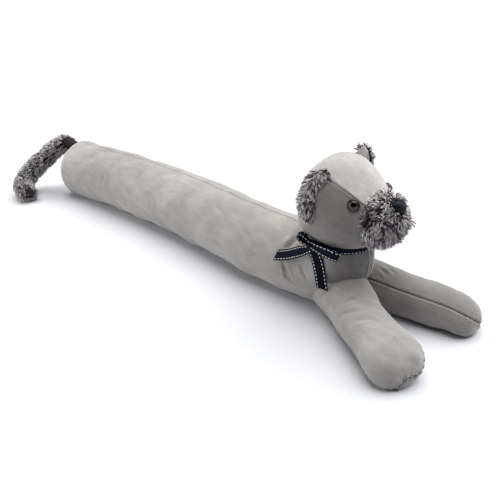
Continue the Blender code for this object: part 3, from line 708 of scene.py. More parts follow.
def floor_material():
    """A sweep painted palest away from the object: painted light, darker round the object and paler further
    off.
    """
    n = Nodes("pale_floor")
    far = n.add("ShaderNodeVectorMath", operation="LENGTH")
    n.link(n.object_coords(), far.inputs[0])
    reach = n.math("MULTIPLY", far.outputs["Value"], 0.5)
    n.link(n.ramp(reach, [(0.20, (0.60, 0.61, 0.64)), (0.60, (0.79, 0.80, 0.82))]),
           n.shader.inputs["Base Color"])
    n.set(Roughness=0.9, Specular_IOR_Level=0.1)
    return n.material


SUEDE = suede_material()
PILE = pile_material()
BACKING = mottled_material("pile_backing", 420.0, 3.0, 0.6, (0.010, 0.008, 0.010), (0.050, 0.040, 0.044),
                           0.0008, 0.8, Roughness=0.9, Specular_IOR_Level=0.2)
RIBBON = ribbon_material()
WHITE_THREAD = thread_material("white_thread", (0.78, 0.77, 0.74), 0.75)
BLACK_THREAD = thread_material("black_thread", (0.014, 0.013, 0.020), 0.5)
EYE = eye_material()
NOSE = mottled_material("nose_velvet", 1500.0, 3.0, 0.7, (0.0018, 0.0028, 0.0065), (0.0040, 0.0060, 0.0125),
                        0.0002, 0.6, Roughness=0.52, Specular_IOR_Level=0.16)

# Suede body

def make_torso():
    seams = (90, 219, 264, 277, 321)
    angles = angles_with_seams(132, seams, BODY_RADIUS)
    rows = smooth_rows(TORSO, 280)
    flat = 1 - END_ROUNDING / BODY_RADIUS
    crown = ((0.08, 0.0002), (0.25, 0.0000), (0.45, 0.0006), (0.62, 0.0009), (0.80, 0.0010))
    end = [(share * flat, rise) for share, rise in crown]
    for angle in np.arange(16) * math.pi / 32:
        end.append((flat + (1 - flat) * math.sin(angle), 0.0015 + END_ROUNDING * (1 - math.cos(angle))))
    before = [(share, BODY_END_X - rows[0, 0] + rise) for share, rise in end]
    table, scales = with_ends(rows, before, ((0.90, 0.004), (0.5, 0.005)), UPRIGHT)
    rings = slice_rings(table, angles, scales)
    skin = Skin("torso", tube_points(rings), tube_faces(len(rings), len(angles)))
    for seam in seams:
        start, stop = (8, -3) if seam == 90 else (8, 246) if seam in (219, 321) else (250, -3)
        line = rings[start:stop:4, nearest_angle(angles, seam)]
        skin.sew(line, depth=0.0009, width=0.0008, pucker=0.0002, seed=seam)
    rim = rings[7][::6]
    skin.sew(np.concatenate([rim, rim[:1]]), depth=0.0012, pucker=0.00035, seed=4)
    for points, depth, width in TORSO_FOLDS:
        skin.fold(points, depth, width)
    # painted shade: the chest front, which faces forward, is painted darker, and the body a little darker
    # towards the rear
    front = np.clip((skin.normal[:, 0] - 0.15) / 0.35, 0, 1)
    front = front * np.clip((skin.co[:, 2] - 0.02) / 0.03, 0, 1)
    places, painted_shades = (-0.54, -0.44, -0.34, -0.15, -0.02), (0.88, 0.90, 0.95, 1.03, 0.98)
    along = np.interp(skin.co[:, 0], places, painted_shades)
    skin.tone = along * (1 - 0.42 * front)
    skin.lumps(0.0010, 0.075, 11)
    skin.lumps(0.0004, 0.028, 12)
    obj = place("torso_skin", skin.settle(), [SUEDE], ["torso"], "suede")
    return obj


def make_head():
    seams = (42, 138)
    angles = angles_with_seams(128, seams, 0.055)
    rows = smooth_rows(HEAD, 76)
    back = ((0.12, -0.0108), (0.35, -0.0095), (0.52, -0.0080), (0.68, -0.0062),
            (0.80, -0.0043), (0.90, -0.0023))
    table, scales = with_ends(rows, back, ((0.8, 0.004), (0.4, 0.007)), ACROSS_ENDS)
    count = len(scales)
    rise = np.radians(6.0) * np.clip((np.arange(count) - 30) / (count - 30), 0, 1)
    turned = angles[None, :] + rise[:, None] * np.sin(2 * angles)[None, :]
    rings = slice_rings(table, turned, scales, JAW_FULLNESS)
    skin = Skin("head", tube_points(rings), tube_faces(len(rings), len(angles)))
    for seam in seams:
        line = rings[3:-1:3, nearest_angle(angles, seam)]
        skin.sew(line, depth=0.0015, width=0.0010, pucker=0.0002, seed=seam)
    for side in (-1, 1):
        skin.sew([(0.0985, side * 0.0490, 0.1420), (0.1031, side * 0.0528, 0.1334),
                  (0.1110, side * 0.0535, 0.1245), (0.1250, side * 0.0520, 0.1160),
                  (0.1450, side * 0.0470, 0.1120)], depth=0.0009, seed=5)
    skin.lumps(0.0007, 0.060, 21)
    # painted shade: the cheek panel is painted darker towards the front; painted light: the crown is
    # painted lighter, most towards the front
    cheek = skin.panel(angles, 42, 138)
    cheek_painted_shade = np.clip((skin.co[:, 0] - 0.092) / 0.030, 0, 1)
    ahead = np.clip((skin.co[:, 0] - 0.10) / 0.07, 0, 1)
    skin.tone = np.where(cheek, 1.10 - 0.56 * cheek_painted_shade, 1.12 + 0.28 * ahead)
    obj = place("head_skin", skin.settle(), [SUEDE], ["head"], "suede")
    return obj


def make_leg(name, node, leg, folds, side):
    """A foreleg, drawn along +X and then turned; its inner side stops where the legs meet."""
    stretch = leg["length"] / FORELEG_LENGTH
    table = FORELEG.copy()
    table[:, 0] *= stretch
    table[:, 3] *= leg["girth"]
    table[1:3, 1] += leg["crown"]
    table[-3:, 1] -= leg["taper"] * np.array((0.3, 0.7, 1.0))
    table[-3:, 3] -= leg["taper"] * np.array((0.2, 0.5, 0.8))
    rows = smooth_rows(table, 84)
    seam = leg["seam"]
    angles = angles_with_seams(104, (seam, seam + 180), 0.032)

    def ring(row, scale=1.0, drop=0.0, sag=0.0):
        middle = np.array((row[0], row[4], (row[1] + row[2]) / 2 - drop))
        turned = angles - sag * np.cos(angles)
        wide = np.outer(np.cos(turned), (0.0, row[3] * scale, 0.0))
        high = np.outer(np.sin(turned), (0.0, 0.0, (row[1] - row[2]) / 2 * scale))
        return middle + wide + high

    rings = [ring(rows[0], share) for share in (0.3, 0.6, 0.85)] + [ring(row) for row in rows]
    toe = leg["length"] - rows[-1][0]
    for k in range(1, 25):
        angle = math.pi / 2 * k / 24.6
        row = moved(rows[-1], 0, toe * math.sin(angle))
        sag = math.radians(leg["sag"]) * math.sin(angle) ** 2
        rings.append(ring(row, math.cos(angle) ** 0.72, 0.008 * math.sin(angle), sag))
    rings = np.array(rings)
    turn = math.radians(leg["turn"])
    c, s = math.cos(turn), math.sin(turn)
    rings = rings @ np.array(((c, s, 0), (-s, c, 0), (0, 0, 1))) + np.array((*leg["root"], 0.0))
    skin = Skin(node, tube_points(rings), tube_faces(len(rings), len(angles)))
    k0, k1 = nearest_angle(angles, seam), nearest_angle(angles, seam + 180)
    sides = np.concatenate([rings[3:-1:3, k0], rings[-1:, k0], rings[-1:, k1], rings[-2:3:-3, k1]])
    skin.sew(sides, depth=0.0013, width=0.0010, pucker=0.0004, spacing=0.0080, seed=3)
    for points, depth, width in folds:
        skin.fold(points, depth, width)
    tip = rings[-1].mean(0)
    close = bell(np.linalg.norm(skin.co - tip, axis=1), 0.034)
    off_seam, along_seam, length = along_line(skin.co, refine_line(sides, 0.003), 0.02)
    tucks = np.sin(along_seam * length / 0.0072 * 2 * np.pi) * bell(off_seam, 0.0075)
    skin.move += 0.0011 * close * tucks
    # painted shade: the leg is darkened by its tone, and its lower panel further
    skin.tone *= leg["tone"]
    skin.tone[skin.panel(angles, seam, seam + 180)] *= leg["lower_painted_shade"]
    skin.lumps(0.0008, 0.055, 31 + int(side))
    skin.lumps(0.0003, 0.022, 33 + int(side))
    mesh = skin.settle()
    part_from_other_leg(mesh, side)
    obj = place(name, mesh, [SUEDE], [node], "suede")
    return obj


def part_from_other_leg(mesh, side):
    """Presses the leg flat against the upright plane where the two legs touch."""
    turn = math.radians(LEGS_MEET_TURN)
    outward = np.array((-math.sin(turn), math.cos(turn), 0.0)) * side
    co = vectors_of(mesh)
    reach = (co - np.array((*LEGS_MEET, 0.0))) @ outward
    short = np.minimum(reach - 0.0002, 0.0)
    set_coords(mesh, co - short[:, None] * outward)


# Fur

def grow_pile(base, count, length, lay, lean, clump, pull, seed, keep, wild, dark=None):
    """Strands on a base mesh: (points, faces, along/each/lock values, normals).

    lay gives the way the pile is brushed at each root, lean how far it lies down, 0 to 1,
    clump the size of a lock, pull how far its strands draw together and wild how far it
    stands away from that lie. keep is 0 where nothing grows, and dark is how far up a
    root's dark colour reaches; where the pile parts it also stands for painted shade.
    """
    draw = np.random.default_rng(seed)
    base.calc_loop_triangles()
    tris = np.array([t.vertices[:] for t in base.loop_triangles])
    co, normal = vectors_of(base), vectors_of(base, "normal")
    a, b, c = co[tris[:, 0]], co[tris[:, 1]], co[tris[:, 2]]
    area = np.linalg.norm(np.cross(b - a, c - a), axis=1)
    area = area * keep((a + b + c) / 3, unit(np.cross(b - a, c - a)))
    picked = draw.choice(len(tris), size=count, p=area / area.sum())
    u, v = draw.random(count), draw.random(count)
    flip = u + v > 1
    u[flip], v[flip] = 1 - u[flip], 1 - v[flip]
    t = tris[picked]
    w, u, v = (share[:, None] for share in (1 - u - v, u, v))
    roots = w * co[t[:, 0]] + u * co[t[:, 1]] + v * co[t[:, 2]]
    up = unit(w * normal[t[:, 0]] + u * normal[t[:, 1]] + v * normal[t[:, 2]])
    brushed = lay(roots, up)
    brushed = unit(brushed - up * (brushed * up).sum(1)[:, None])
    cells = {}
    for i, cell in enumerate(np.floor(roots / clump).astype(int)):
        cells.setdefault(tuple(cell), i)
    centres = np.array(sorted(cells.values()))
    tree = tree_of(roots[centres])
    nearest = np.array([tree.find(r)[1] for r in roots])
    lead = centres[nearest]
    lock_value = draw.random(len(centres))[nearest]
    stray = draw.normal(size=(len(centres), 3))[nearest] * wild + draw.normal(size=(count, 3)) * 0.14
    away = unit(up * (1 - lean) + brushed * lean + stray)
    size = (length(roots) if callable(length) else length) * draw.uniform(0.75, 1.15, count)

    def at(share, who):
        fall = brushed[who] * lean * 0.35 + np.array((0.0, 0.0, -STRAND_DROOP))
        return roots[who] + size[who][:, None] * (away[who] * share + fall * share * share)

    everyone = np.arange(count)
    levels = (0.0, 0.38, 0.74, 1.0)
    gather = at(1.0, lead) - at(1.0, everyone)
    lines = [at(share, everyone) + gather * pull * share**1.5 for share in levels]
    wide = unit(np.cross(away, draw.normal(size=(count, 3))))
    points, values = [], []
    each = draw.random(count)
    pale = 1 - (dark(roots) if dark else np.zeros(count))
    for share, line in zip(levels[:3], lines[:3]):
        half = STRAND_WIDTH * (1 - 0.55 * share) / 2
        points += [line + wide * half, line - wide * half]
        values += [np.stack([share * pale, each, lock_value], 1)] * 2
    points.append(lines[3])
    values.append(np.stack([pale, each, lock_value], 1))
    points = np.stack(points, 1).reshape(-1, 3)
    values = np.stack(values, 1).reshape(-1, 3)
    start = everyone[:, None] * 7
    quads = np.concatenate([start + np.array((0, 1, 3, 2)), start + np.array((2, 3, 5, 4))])
    ends = start + np.array((4, 5, 6))
    # shading normals turned up and mixed, so that the pile catches light as a soft mass
    bent = up * 0.8 + away * 0.5 + np.array((-0.15, 0.0, 0.55)) + draw.normal(size=(count, 3)) * 0.30
    soft = np.repeat(unit(bent), 7, axis=0)
    return points, quads.tolist() + ends.tolist(), values, soft


def furry(name, base, strands, materials, nodes, slot):
    """One piece of the base mesh and its strands; the strands take the last material."""
    points, faces, values, soft = strands
    co = vectors_of(base)
    base_faces = [p.vertices[:] for p in base.polygons]
    kinds = [p.material_index for p in base.polygons] + [len(materials) - 1] * len(faces)
    offset = len(co)
    low = np.concatenate([co, points])
    low[:, 2] = np.maximum(low[:, 2], 0.0004)
    faces = base_faces + [[i + offset for i in f] for f in faces]
    mesh = make_mesh(name, low, faces)
    mesh.polygons.foreach_set("material_index", kinds)
    colours = np.zeros((len(low), 4), np.float32)
    colours[:, 3] = 1.0
    colours[offset:, :3] = values
    # painted light: the suede of these pieces is lightened by the ears' tone
    mark_points(mesh, "nap_and_painted_light", np.full(len(low), FLAP_PAINTED_LIGHT))
    mark = mesh.attributes.new("pile", "FLOAT_COLOR", "POINT")
    mark.data.foreach_set("color", colours.ravel())
    mesh.shade_smooth()
    normals = np.concatenate([vectors_of(base, "normal"), soft])
    mesh.normals_split_custom_set_from_vertices([tuple(n) for n in normals])
    return place(name, mesh, materials, nodes, slot)


def make_muzzle():
    inset = 0.0056
    size = MUZZLE_SIZE - inset
    steps, around = 26, 48
    angles = even_angles(around)
    rings = []
    for k in range(1, steps):
        angle = math.pi * k / steps
        wide = np.outer(np.cos(angles), (0.0, size[1] * math.sin(angle), 0.0))
        high = np.outer(np.sin(angles), (0.0, 0.0, size[2] * math.sin(angle)))
        rings.append(np.array((-size[0] * math.cos(angle), 0, 0)) + wide + high)
    rings = np.array(rings)
    c, s = math.cos(MUZZLE_TILT), math.sin(MUZZLE_TILT)
    rings = rings @ np.array(((c, 0, -s), (0, 1, 0), (s, 0, c))) + MUZZLE_CENTRE
    skin = Skin("muzzle_base", tube_points(rings), tube_faces(len(rings), around))
    skin.lumps(0.0008, 0.018, 41)
    base = skin.settle()
    nose = np.array(NOSE_CENTRE)

    def lay(roots, up):
        swirl = np.stack([rough(roots, 0.012, k) for k in (81, 82, 83)], 1)
        return unit(roots - nose) * 0.55 + swirl * 0.9 + np.array((-0.2, 0.0, -0.25))

    def keep(middle, facing):
        return (middle[:, 0] > 0.155) * (np.linalg.norm(middle - nose, axis=1) > 0.0100)

    def length(roots):
        return 0.0080 * (1 - 0.40 * bell(np.linalg.norm(roots - nose, axis=1), 0.014))

    # dark roots, and painted shade, at the muzzle's rim and beside the nose
    def dark(roots):
        shades = [bell(np.linalg.norm(roots - spot, axis=1), reach) for spot, reach in MUZZLE_SHADES]
        return np.max(shades, axis=0)

    strands = grow_pile(base, 24000, length, lay, 0.55, 0.0016, 0.66, 51, keep, wild=0.30, dark=dark)
    obj = furry("muzzle_fur", base, strands, [BACKING, PILE], ["muzzle"], "fur")
    return obj


def make_tail():
    rows = smooth_rows(TAIL, 90)
    points = rows[:, :3]
    ahead = np.gradient(points, axis=0)
    side = unit(np.cross(ahead, np.array((0.0, 0.0, 1.0))))
    upward = unit(np.cross(side, ahead))
    around = 40
    angles = even_angles(around)
    core = rows[:, 3] - 0.0068
    rings = round_rings(points, side, upward, core, angles)
    bends = math.pi / 2 * np.arange(1, 8) / 7.4
    middles = points[-1] + unit(ahead[-1]) * core[-1] * np.sin(bends)[:, None]
    tip = round_rings(middles, side[[-1] * 7], upward[[-1] * 7], core[-1] * np.cos(bends), angles)
    rings = np.concatenate([rings, tip])
    skin = Skin("tail_base", tube_points(rings), tube_faces(len(rings), around))
    skin.lumps(0.0008, 0.016, 61)
    base = skin.settle()
    parting = refine_line(TAIL_PARTING)
    tree = tree_of(points)

    def lay(roots, up):
        index = np.array([tree.find(r)[1] for r in roots])
        distance, _, _ = along_line(roots, parting, 0.02)
        swirl = np.stack([rough(roots, 0.014, k) for k in (84, 85, 86)], 1)
        aside = unit(ahead)[index] * 0.8 + swirl * 0.5
        line = parting[np.argmin(np.linalg.norm(roots[:, None] - parting[None], axis=2), axis=1)]
        push = unit(roots - line) * bell(distance, 0.006)[:, None]
        return aside + push * 2.2

    def keep(middle, facing):
        return (middle[:, 0] < -0.5425) * 1.0

    # dark roots, and painted shade, along the parting
    def dark(roots):
        distance, _, _ = along_line(roots, parting, 0.02)
        return 0.9 * bell(distance, 0.0062)

    strands = grow_pile(base, 26000, 0.0082, lay, 0.45, 0.0021, 0.68, 62, keep, wild=0.32, dark=dark)
    obj = furry("tail_fur", base, strands, [BACKING, PILE], ["tail"], "fur")
    return obj


def make_ear(name, node, table, seed, reach, pile, outward):
    """A flap with a suede back and a furry front."""
    rows = smooth_rows(table, 40)[:37]
    root, edge, bulge = rows[:, :3], rows[:, 3:6], rows[:, 6]
    across = edge - root
    facing = np.array((0.75, math.copysign(0.65, table[0, 1]), 0.1))
    facing = facing - across * ((across @ facing) / (across**2).sum(1))[:, None]
    facing = unit(facing)
    around = 32
    angles = even_angles(around)
    t = 0.5 - 0.5 * np.cos(angles)
    half = 0.0022 * np.sin(angles)
    lift = bulge[:, None] * np.sin(math.pi * t)[None, :] - 0.0028
    rings = root[:, None] + across[:, None] * t[None, :, None] * reach
    rings = rings + facing[:, None] * (half + lift)[:, :, None]
    ends = rings[:1].mean(1, keepdims=True), rings[-1:].mean(1, keepdims=True)
    first = ends[0] + (rings[:1] - ends[0]) * 0.6 - unit(root[1] - root[0]) * 0.001
    last = ends[1] + (rings[-1:] - ends[1]) * 0.6 + unit(root[-1] - root[-2]) * 0.001
    rings = np.concatenate([first, rings, last])
    skin = Skin(name + "_base", tube_points(rings), tube_faces(len(rings), around))
    base = skin.settle()
    front = facing.mean(0)
    for poly in base.polygons:
        poly.material_index = 1 if Vector(poly.normal).dot(Vector(front)) > 0.30 else 0
    way_down = unit(root[-1] - root[0])
    way_out = unit(across.mean(0))

    def lay(roots, up):
        return np.broadcast_to(way_down * 0.8 + way_out * outward, roots.shape)

    def keep(middle, normal):
        return (normal @ front > 0.32) * 1.0

    def length(roots):
        down = (roots - root[0]) @ way_down / ((root[-1] - root[0]) @ way_down)
        return pile * (1 - 0.45 * np.clip((down - 0.75) / 0.25, 0, 1))

    strands = grow_pile(base, 10000, length, lay, 0.52, 0.0020, 0.66, seed, keep, wild=0.30)
    obj = furry(name, base, strands, [SUEDE, BACKING, PILE], [node], "fur")
    return obj


# Eyes, nose and mouth

def make_eye(name, node, side):
    centre = Vector((EYE_CENTRE.x, EYE_CENTRE.y * side, EYE_CENTRE.z))
    normal = Vector((0.52, 0.80 * side, 0.30)).normalized()
    turn = normal.to_track_quat("Z", "Y")
    radius = 0.0080
    # radius share, height above the seat, place on the ring scale
    profile = [
        (0.0, 0.0090, 0.0), (0.18, 0.00895, 0.18), (0.36, 0.0087, 0.36), (0.42, 0.0086, 0.42),
        (0.55, 0.0081, 0.55), (0.68, 0.0074, 0.70), (0.76, 0.0068, 0.79), (0.80, 0.0069, 0.83),
        (0.88, 0.0066, 0.90), (0.96, 0.0055, 0.96), (1.0, 0.0038, 1.0), (0.99, 0.0010, 1.0),
        (0.90, 0.0000, 1.0),
    ]
    around = 48
    points, ring_value = [], []
    for share, height, value in profile:
        for i in range(around):
            spin = 2 * math.pi * i / around
            flat = Vector((radius * share * math.cos(spin), radius * share * math.sin(spin), height))
            points.append(centre - normal * 0.0040 + turn @ flat)
            ring_value.append(value)
    points = np.array(points)[around - 1:]
    ring_value = np.array(ring_value)[around - 1:]
    faces = [(0, 1 + i, 1 + (i + 1) % around) for i in range(around)]
    for row in range(len(profile) - 2):
        for i in range(around):
            a, b = 1 + row * around + i, 1 + row * around + (i + 1) % around
            faces.append((a, a + around, b + around, b))
    last = 1 + (len(profile) - 2) * around
    faces.append(tuple(range(last, last + around)))
    mesh = make_mesh(name, points, faces)
    mark_points(mesh, "ring", ring_value)
    mesh.shade_smooth()
    return place(name, mesh, [EYE], [node], "eye_plastic")


def make_nose():
    """A padded nose, a rounded triangle that is wider above."""
    normal = Vector((0.80, 0.0, 0.60)).normalized()
    turn = normal.to_track_quat("Z", "Y")
    side_way = Vector((0.0, 1.0, 0.0))
    down_way = (Vector((0.0, 0.0, -1.0)) + normal * normal.z).normalized()
    seat = NOSE_CENTRE - normal * 0.004
    around, rings = 48, 16
    points = []
    for k in range(rings + 1):
        level = math.pi / 2 * k / rings
        for i in range(around):
            spin = 2 * math.pi * i / around
            outline = 0.0104 * (1 + 0.10 * math.cos(3 * spin)) * (1 - 0.03 * math.cos(2 * spin))
            reach = outline * math.cos(level) ** 0.70
            # spin 0 points down, where the nose narrows
            flat = down_way * math.cos(spin) * reach * 0.96 + side_way * math.sin(spin) * reach * 1.04
            points.append(seat + flat + normal * (0.0115 * math.sin(level)))
    faces = []
    for row in range(rings):
        for i in range(around):
            a, b = row * around + i, row * around + (i + 1) % around
            faces.append((a, b, b + around, a + around))
    faces.append(tuple(reversed(range(around))))
    mesh = make_mesh("nose_pad", points, faces)
    face_outward(mesh, merge=0.00002)
    mesh.shade_smooth()
    return place("nose_pad", mesh, [NOSE], ["nose"], "nose_plastic")


def thread_tube(line, radius, around=7):
    """A round thread along a line, thinner at its ends: points and faces."""
    ahead = unit(np.gradient(line, axis=0))
    side = unit(np.cross(ahead, np.array((0.31, 0.17, 0.93))))
    size = np.full(len(line), radius)
    size[-1] *= 0.35
    size[0] *= 0.5
    rings = round_rings(line, side, np.cross(side, ahead), size, even_angles(around))
    return tube_points(rings), tube_faces(len(rings), around)


def joined(parts):
    points, faces, offset = [], [], 0
    for p, f in parts:
        points.append(p)
        faces += [[i + offset for i in face] for face in f]
        offset += len(p)
    return np.concatenate(points), faces


MOUTH = [
    [(0.2009, -0.0294, 0.1600), (0.2045, -0.0272, 0.1571), (0.2088, -0.0247, 0.1535),
     (0.2132, -0.0220, 0.1482), (0.2157, -0.0171, 0.1419), (0.2164, -0.0108, 0.1339),
     (0.2155, -0.0056, 0.1285), (0.2165, -0.0020, 0.1262)],
    [(0.2035, -0.0290, 0.1610), (0.2068, -0.0262, 0.1585), (0.2108, -0.0237, 0.1545),
     (0.2150, -0.0205, 0.1492), (0.2172, -0.0158, 0.1430), (0.2176, -0.0098, 0.1350),
     (0.2168, -0.0050, 0.1297)],
    [(0.2120, 0.0170, 0.1480), (0.2165, 0.0190, 0.1465), (0.2195, 0.0215, 0.1435)],
    [(0.2130, 0.0165, 0.1455), (0.2170, 0.0175, 0.1440), (0.2200, 0.0190, 0.1405)],
]


def make_mouth():
    parts = []
    for line in MOUTH:
        line = refine_line(line, 0.0015)
        line = line + unit(line - MUZZLE_CENTRE) * 0.0014
        parts.append(thread_tube(line, 0.00075))
    mesh = make_mesh("mouth_thread", *joined(parts))
    mesh.shade_smooth()
    return place("mouth_thread", mesh, [BLACK_THREAD], [], "nose_plastic")


# Ribbon

def ribbon_mesh(name, points, ahead, across, share, slant=0.0, pleats=0.0):
    """A thin ribbon with rounded edges and its lengthwise pleats where it is gathered.

    Gives its mesh, middle points, normals, lengths along it and area.
    """
    across = unit(across - ahead * (across * ahead).sum(1)[:, None])
    through = np.cross(across, ahead)
    columns = np.linspace(-0.5, 0.5, 13)
    count = len(points)
    place_along = np.linspace(0, 1, count)
    lengths = np.concatenate([[0], np.cumsum(np.linalg.norm(np.diff(points, axis=0), axis=1))])
    middle = np.zeros((count, len(columns), 3))
    for j, s in enumerate(columns):
        wave = pleats * (1 - share) * math.cos(2 * math.pi * 2 * s)
        curl = 0.0005 * (4 * s * s - 0.5) * share
        middle[:, j] = (
            points
            + across * (s * RIBBON_WIDTH * share)[:, None]
            + through * (wave + curl)[:, None]
            + ahead * (slant * s * 2 * place_along**4)[:, None]
        )
    thin = np.ones(len(columns)) * RIBBON_THICKNESS / 2
    thin[[0, -1]] *= 0.35
    along = np.gradient(middle, axis=0)
    over = np.gradient(middle, axis=1)
    normal = unit(np.cross(over, along))
    top = middle + normal * thin[None, :, None]
    under = middle - normal * thin[None, :, None]
    wide = len(columns)
    points_out = np.concatenate([top.reshape(-1, 3), under.reshape(-1, 3)])
    base = count * wide
    faces = []
    for i in range(count - 1):
        n = i + 1
        for j in range(wide - 1):
            a, b, c, d = i * wide + j, i * wide + j + 1, n * wide + j + 1, n * wide + j
            faces.append((a, b, c, d))
            faces.append((base + a, base + d, base + c, base + b))
        for j, flip in ((0, False), (wide - 1, True)):
            a, d = i * wide + j, n * wide + j
            edge = (a, d, base + d, base + a)
            faces.append(edge[::-1] if flip else edge)
    for i, flip in ((0, True), (count - 1, False)):
        for j in range(wide - 1):
            a, b = i * wide + j, i * wide + j + 1
            edge = (a, base + a, base + b, b)
            faces.append(edge[::-1] if flip else edge)
    mesh = make_mesh(name, points_out, faces)
    layer = mesh.uv_layers.new(name="along")
    u = np.tile(np.repeat(lengths, wide), 2)
    v = np.tile(np.tile(columns, count), 2)
    index = np.zeros(len(mesh.loops), np.int32)
    mesh.loops.foreach_get("vertex_index", index)
    layer.data.foreach_set("uv", np.stack([u[index], v[index]], 1).astype(np.float32).ravel())
    mesh.shade_smooth()
    area = np.linalg.norm(np.cross(middle[1:, 1:] - middle[:-1, :-1],
                                   middle[1:, :-1] - middle[:-1, 1:]), axis=2).sum() / 2
    return mesh, middle, normal, lengths, area


def dashes(middle, normal, lengths):
    """White running stitches along both edges and on both faces of the ribbon."""
    parts = []
    pitch, size, wide = 0.0049, 0.0029, 0.00055
    columns = middle.shape[1]
    for s in (-0.35, 0.35):
        place_at = (s + 0.5) * (columns - 1)
        j = int(place_at)
        t = place_at - j
        line = middle[:, j] * (1 - t) + middle[:, j + 1] * t
        out = unit(normal[:, j] * (1 - t) + normal[:, j + 1] * t)
        for face, start in ((1, 0.0012), (-1, 0.0012 + pitch / 2)):
            at = start
            while at + size < lengths[-1] - 0.0006:
                where = at + np.linspace(0, size, 6)
                bow = np.sin(np.pi * np.linspace(0.04, 0.96, 6)) ** 0.5
                seat = np.stack([np.interp(where, lengths, line[:, k]) for k in range(3)], 1)
                lift = np.stack([np.interp(where, lengths, out[:, k]) for k in range(3)], 1) * face
                raised = seat + lift * (RIBBON_THICKNESS / 2 - 0.00035 + 0.00045 * bow)[:, None]
                parts.append(thread_tube(raised, wide, 6))
                at += pitch
    return joined(parts)


def make_ribbon(node, rows, steps, held, rests, slant, loop, gather):
    """A ribbon of the bow, gathered over a share of its length where it comes from the knot."""
    smooth = smooth_rows(rows, steps)
    points = smooth[:, :3]
    place_along = np.linspace(0, 1, steps)
    from_knot = np.minimum(place_along, 1 - place_along) if loop else place_along
    share = 0.5 + 0.5 * np.sin(math.pi / 2 * np.minimum(from_knot / gather, 1))
    ahead = unit(np.gradient(points, axis=0))
    ribbon = ribbon_mesh(node + "_ribbon", points, ahead, smooth[:, 3:6], share, slant, 0.0009)
    finish_ribbon(node, ribbon)


def finish_ribbon(node, ribbon):
    mesh, middle, normal, lengths, area = ribbon
    obj = place(node + "_ribbon", mesh, [RIBBON], [node], "ribbon")
    sewn = make_mesh(node + "_ribbon_stitches", *dashes(middle, normal, lengths))
    sewn.shade_smooth()
    stitches = place(node + "_ribbon_stitches", sewn, [WHITE_THREAD], [], "ribbon")


def make_collar():
    count = 150
    angle = np.arange(count + 1) * 2 * math.pi / count
    x = 0.1255 + np.cos(angle) * 0.0492
    y = np.sin(angle) * 0.0492
    z = 0.1080 + (0.168 - x) * 0.035
    points = np.stack([x, y, z], 1)
    across = np.broadcast_to(np.array((0.035, 0.0, 1.0)), points.shape)
    ahead = unit(np.stack([-np.sin(angle), np.cos(angle), np.zeros(count + 1)], 1))
    ribbon = ribbon_mesh("collar_ribbon", points, ahead, across, np.ones(count + 1))
    finish_ribbon("collar", ribbon)


def make_knot():
    """The ribbon's turn round the middle of the bow: a pinched band with a few pleats."""
    around, rows = 40, 26
    points = []
    for k in range(rows):
        level = math.pi * (k + 0.5) / rows
        size = math.sin(level) ** 0.6
        for i in range(around):
            spin = 2 * math.pi * i / around
            pleat = 1 + 0.07 * math.cos(level * 9 + 1.2 * math.sin(spin)) * abs(math.cos(spin / 2))
            points.append((
                KNOT_CENTRE.x - KNOT_SIZE.x * math.cos(level) + 0.0006 * math.sin(spin * 2),
                KNOT_CENTRE.y + KNOT_SIZE.y * size * pleat * math.cos(spin),
                KNOT_CENTRE.z + KNOT_SIZE.z * size * math.sin(spin),
            ))
    rings = np.array(points).reshape(rows, around, 3)
    mesh = make_mesh("bow_knot_ribbon", tube_points(rings), tube_faces(rows, around))
    face_outward(mesh)
    layer = mesh.uv_layers.new(name="along")
    for loop in mesh.loops:
        co = mesh.vertices[loop.vertex_index].co
        layer.data[loop.index].uv = (co.z, co.x)
    mesh.shade_smooth()
    return place("bow_knot_ribbon", mesh, [RIBBON], ["bow_knot"], "ribbon")


# Stage

def add_light(kind, name, direction, where=(0.0, 0.0, 0.0), **settings):
    light = bpy.data.lights.new(name, kind)
    for key, value in settings.items():
        setattr(light, key, value)
    obj = add_object(name, light)
    obj.location = where
    obj.rotation_mode = "QUATERNION"
    obj.rotation_quaternion = direction.to_track_quat("-Z", "Y")


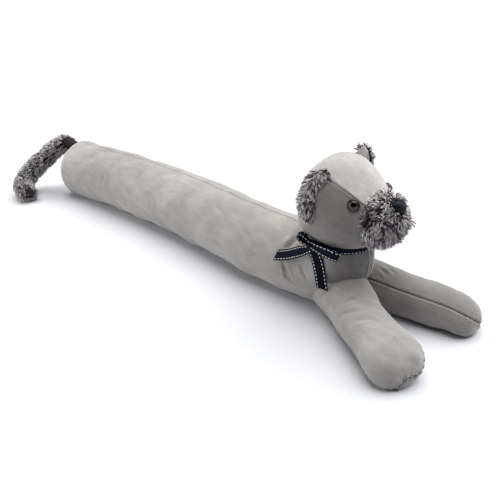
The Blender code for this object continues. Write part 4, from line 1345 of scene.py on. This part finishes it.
def make_stage():
    SCENE.view_settings.view_transform = "Standard"
    mesh = make_mesh("floor", [(-40, -40, 0), (40, -40, 0), (40, 40, 0), (-40, 40, 0)], [(0, 1, 2, 3)])
    floor = add_object("floor", mesh)
    mesh.materials.append(floor_material())
    floor.location.z = -0.0004

    world = bpy.data.worlds.new("studio")
    SCENE.world = world
    world.use_nodes = True
    back = world.node_tree.nodes["Background"]
    back.inputs["Color"].default_value = (0.85, 0.90, 1.0, 1.0)
    back.inputs["Strength"].default_value = 0.03

    add_light("SUN", "sky_light", Vector((0.02, -0.24, -0.97)), energy=5.0,
              angle=math.radians(75), color=(1.0, 0.985, 0.965))
    # name, place, target, power, colour
    for name, where, target, power, colour in (
        ("softbox_left", (-1.20, -1.25, 0.60), (-0.1, 0.0, 0.05), 21.0, (1.0, 0.99, 0.975)),
        ("softbox_right", (1.15, 1.35, 0.85), (0.1, 0.0, 0.1), 12.0, (0.93, 0.96, 1.0)),
    ):
        add_light("AREA", name, Vector(target) - Vector(where), where, shape="RECTANGLE",
                  size=1.2, size_y=1.2, energy=power, color=colour)


def make_camera():
    azimuth, elevation = math.radians(43.35025), math.radians(27.0)
    back = Vector((math.sin(azimuth) * math.cos(elevation),
                   -math.cos(azimuth) * math.cos(elevation), math.sin(elevation)))
    right = Vector((math.cos(azimuth), math.sin(azimuth), 0.0))
    up = back.cross(right)
    data = bpy.data.cameras.new("camera")
    data.sensor_width = 36.0
    data.lens = 559.344 / 500 * 36.0
    data.clip_start = 0.01
    data.clip_end = 50.0
    obj = add_object("camera", data)
    turn = Matrix((right, up, back)).transposed()
    seat = Vector((0.50231, -0.57304, 0.42693)) + SHIFT
    obj.matrix_world = Matrix.Translation(seat) @ turn.to_4x4()
    SCENE.camera = obj


make_stage()
make_camera()
make_torso()
make_head()
make_leg("foreleg_right_skin", "foreleg_right", NEAR_LEG, NEAR_LEG_FOLDS, -1)
make_leg("foreleg_left_skin", "foreleg_left", FAR_LEG, FAR_LEG_FOLDS, 1)
make_muzzle()
make_tail()
make_ear("ear_right_flap", "ear_right", RIGHT_EAR, 71, 0.86, 0.0074, -0.10)
make_ear("ear_left_flap", "ear_left", LEFT_EAR, 72, 0.90, 0.0095, 0.70)
make_eye("eye_right_dome", "eye_right", -1)
make_eye("eye_left_dome", "eye_left", 1)
make_nose()
make_mouth()
make_collar()
make_knot()
# node, rows, steps, how it is held, what it rests on, slant of its end, whether it is a loop,
# share of its length that is gathered
for ribbon in (
    ("bow_loop_back", BACK_LOOP, 60, "folded", ["bow_knot_ribbon"], 0.0, True, 0.3),
    ("bow_loop_front", FRONT_LOOP, 72, "folded", ["bow_knot_ribbon"], 0.0, True, 0.3),
    ("bow_end_back", BACK_END, 48, "hung", ["torso_skin"], -0.004, False, 0.3),
    ("bow_end_front", FRONT_END, 48, "hung", ["torso_skin"], 0.0035, False, 0.12),
):
    make_ribbon(*ribbon)
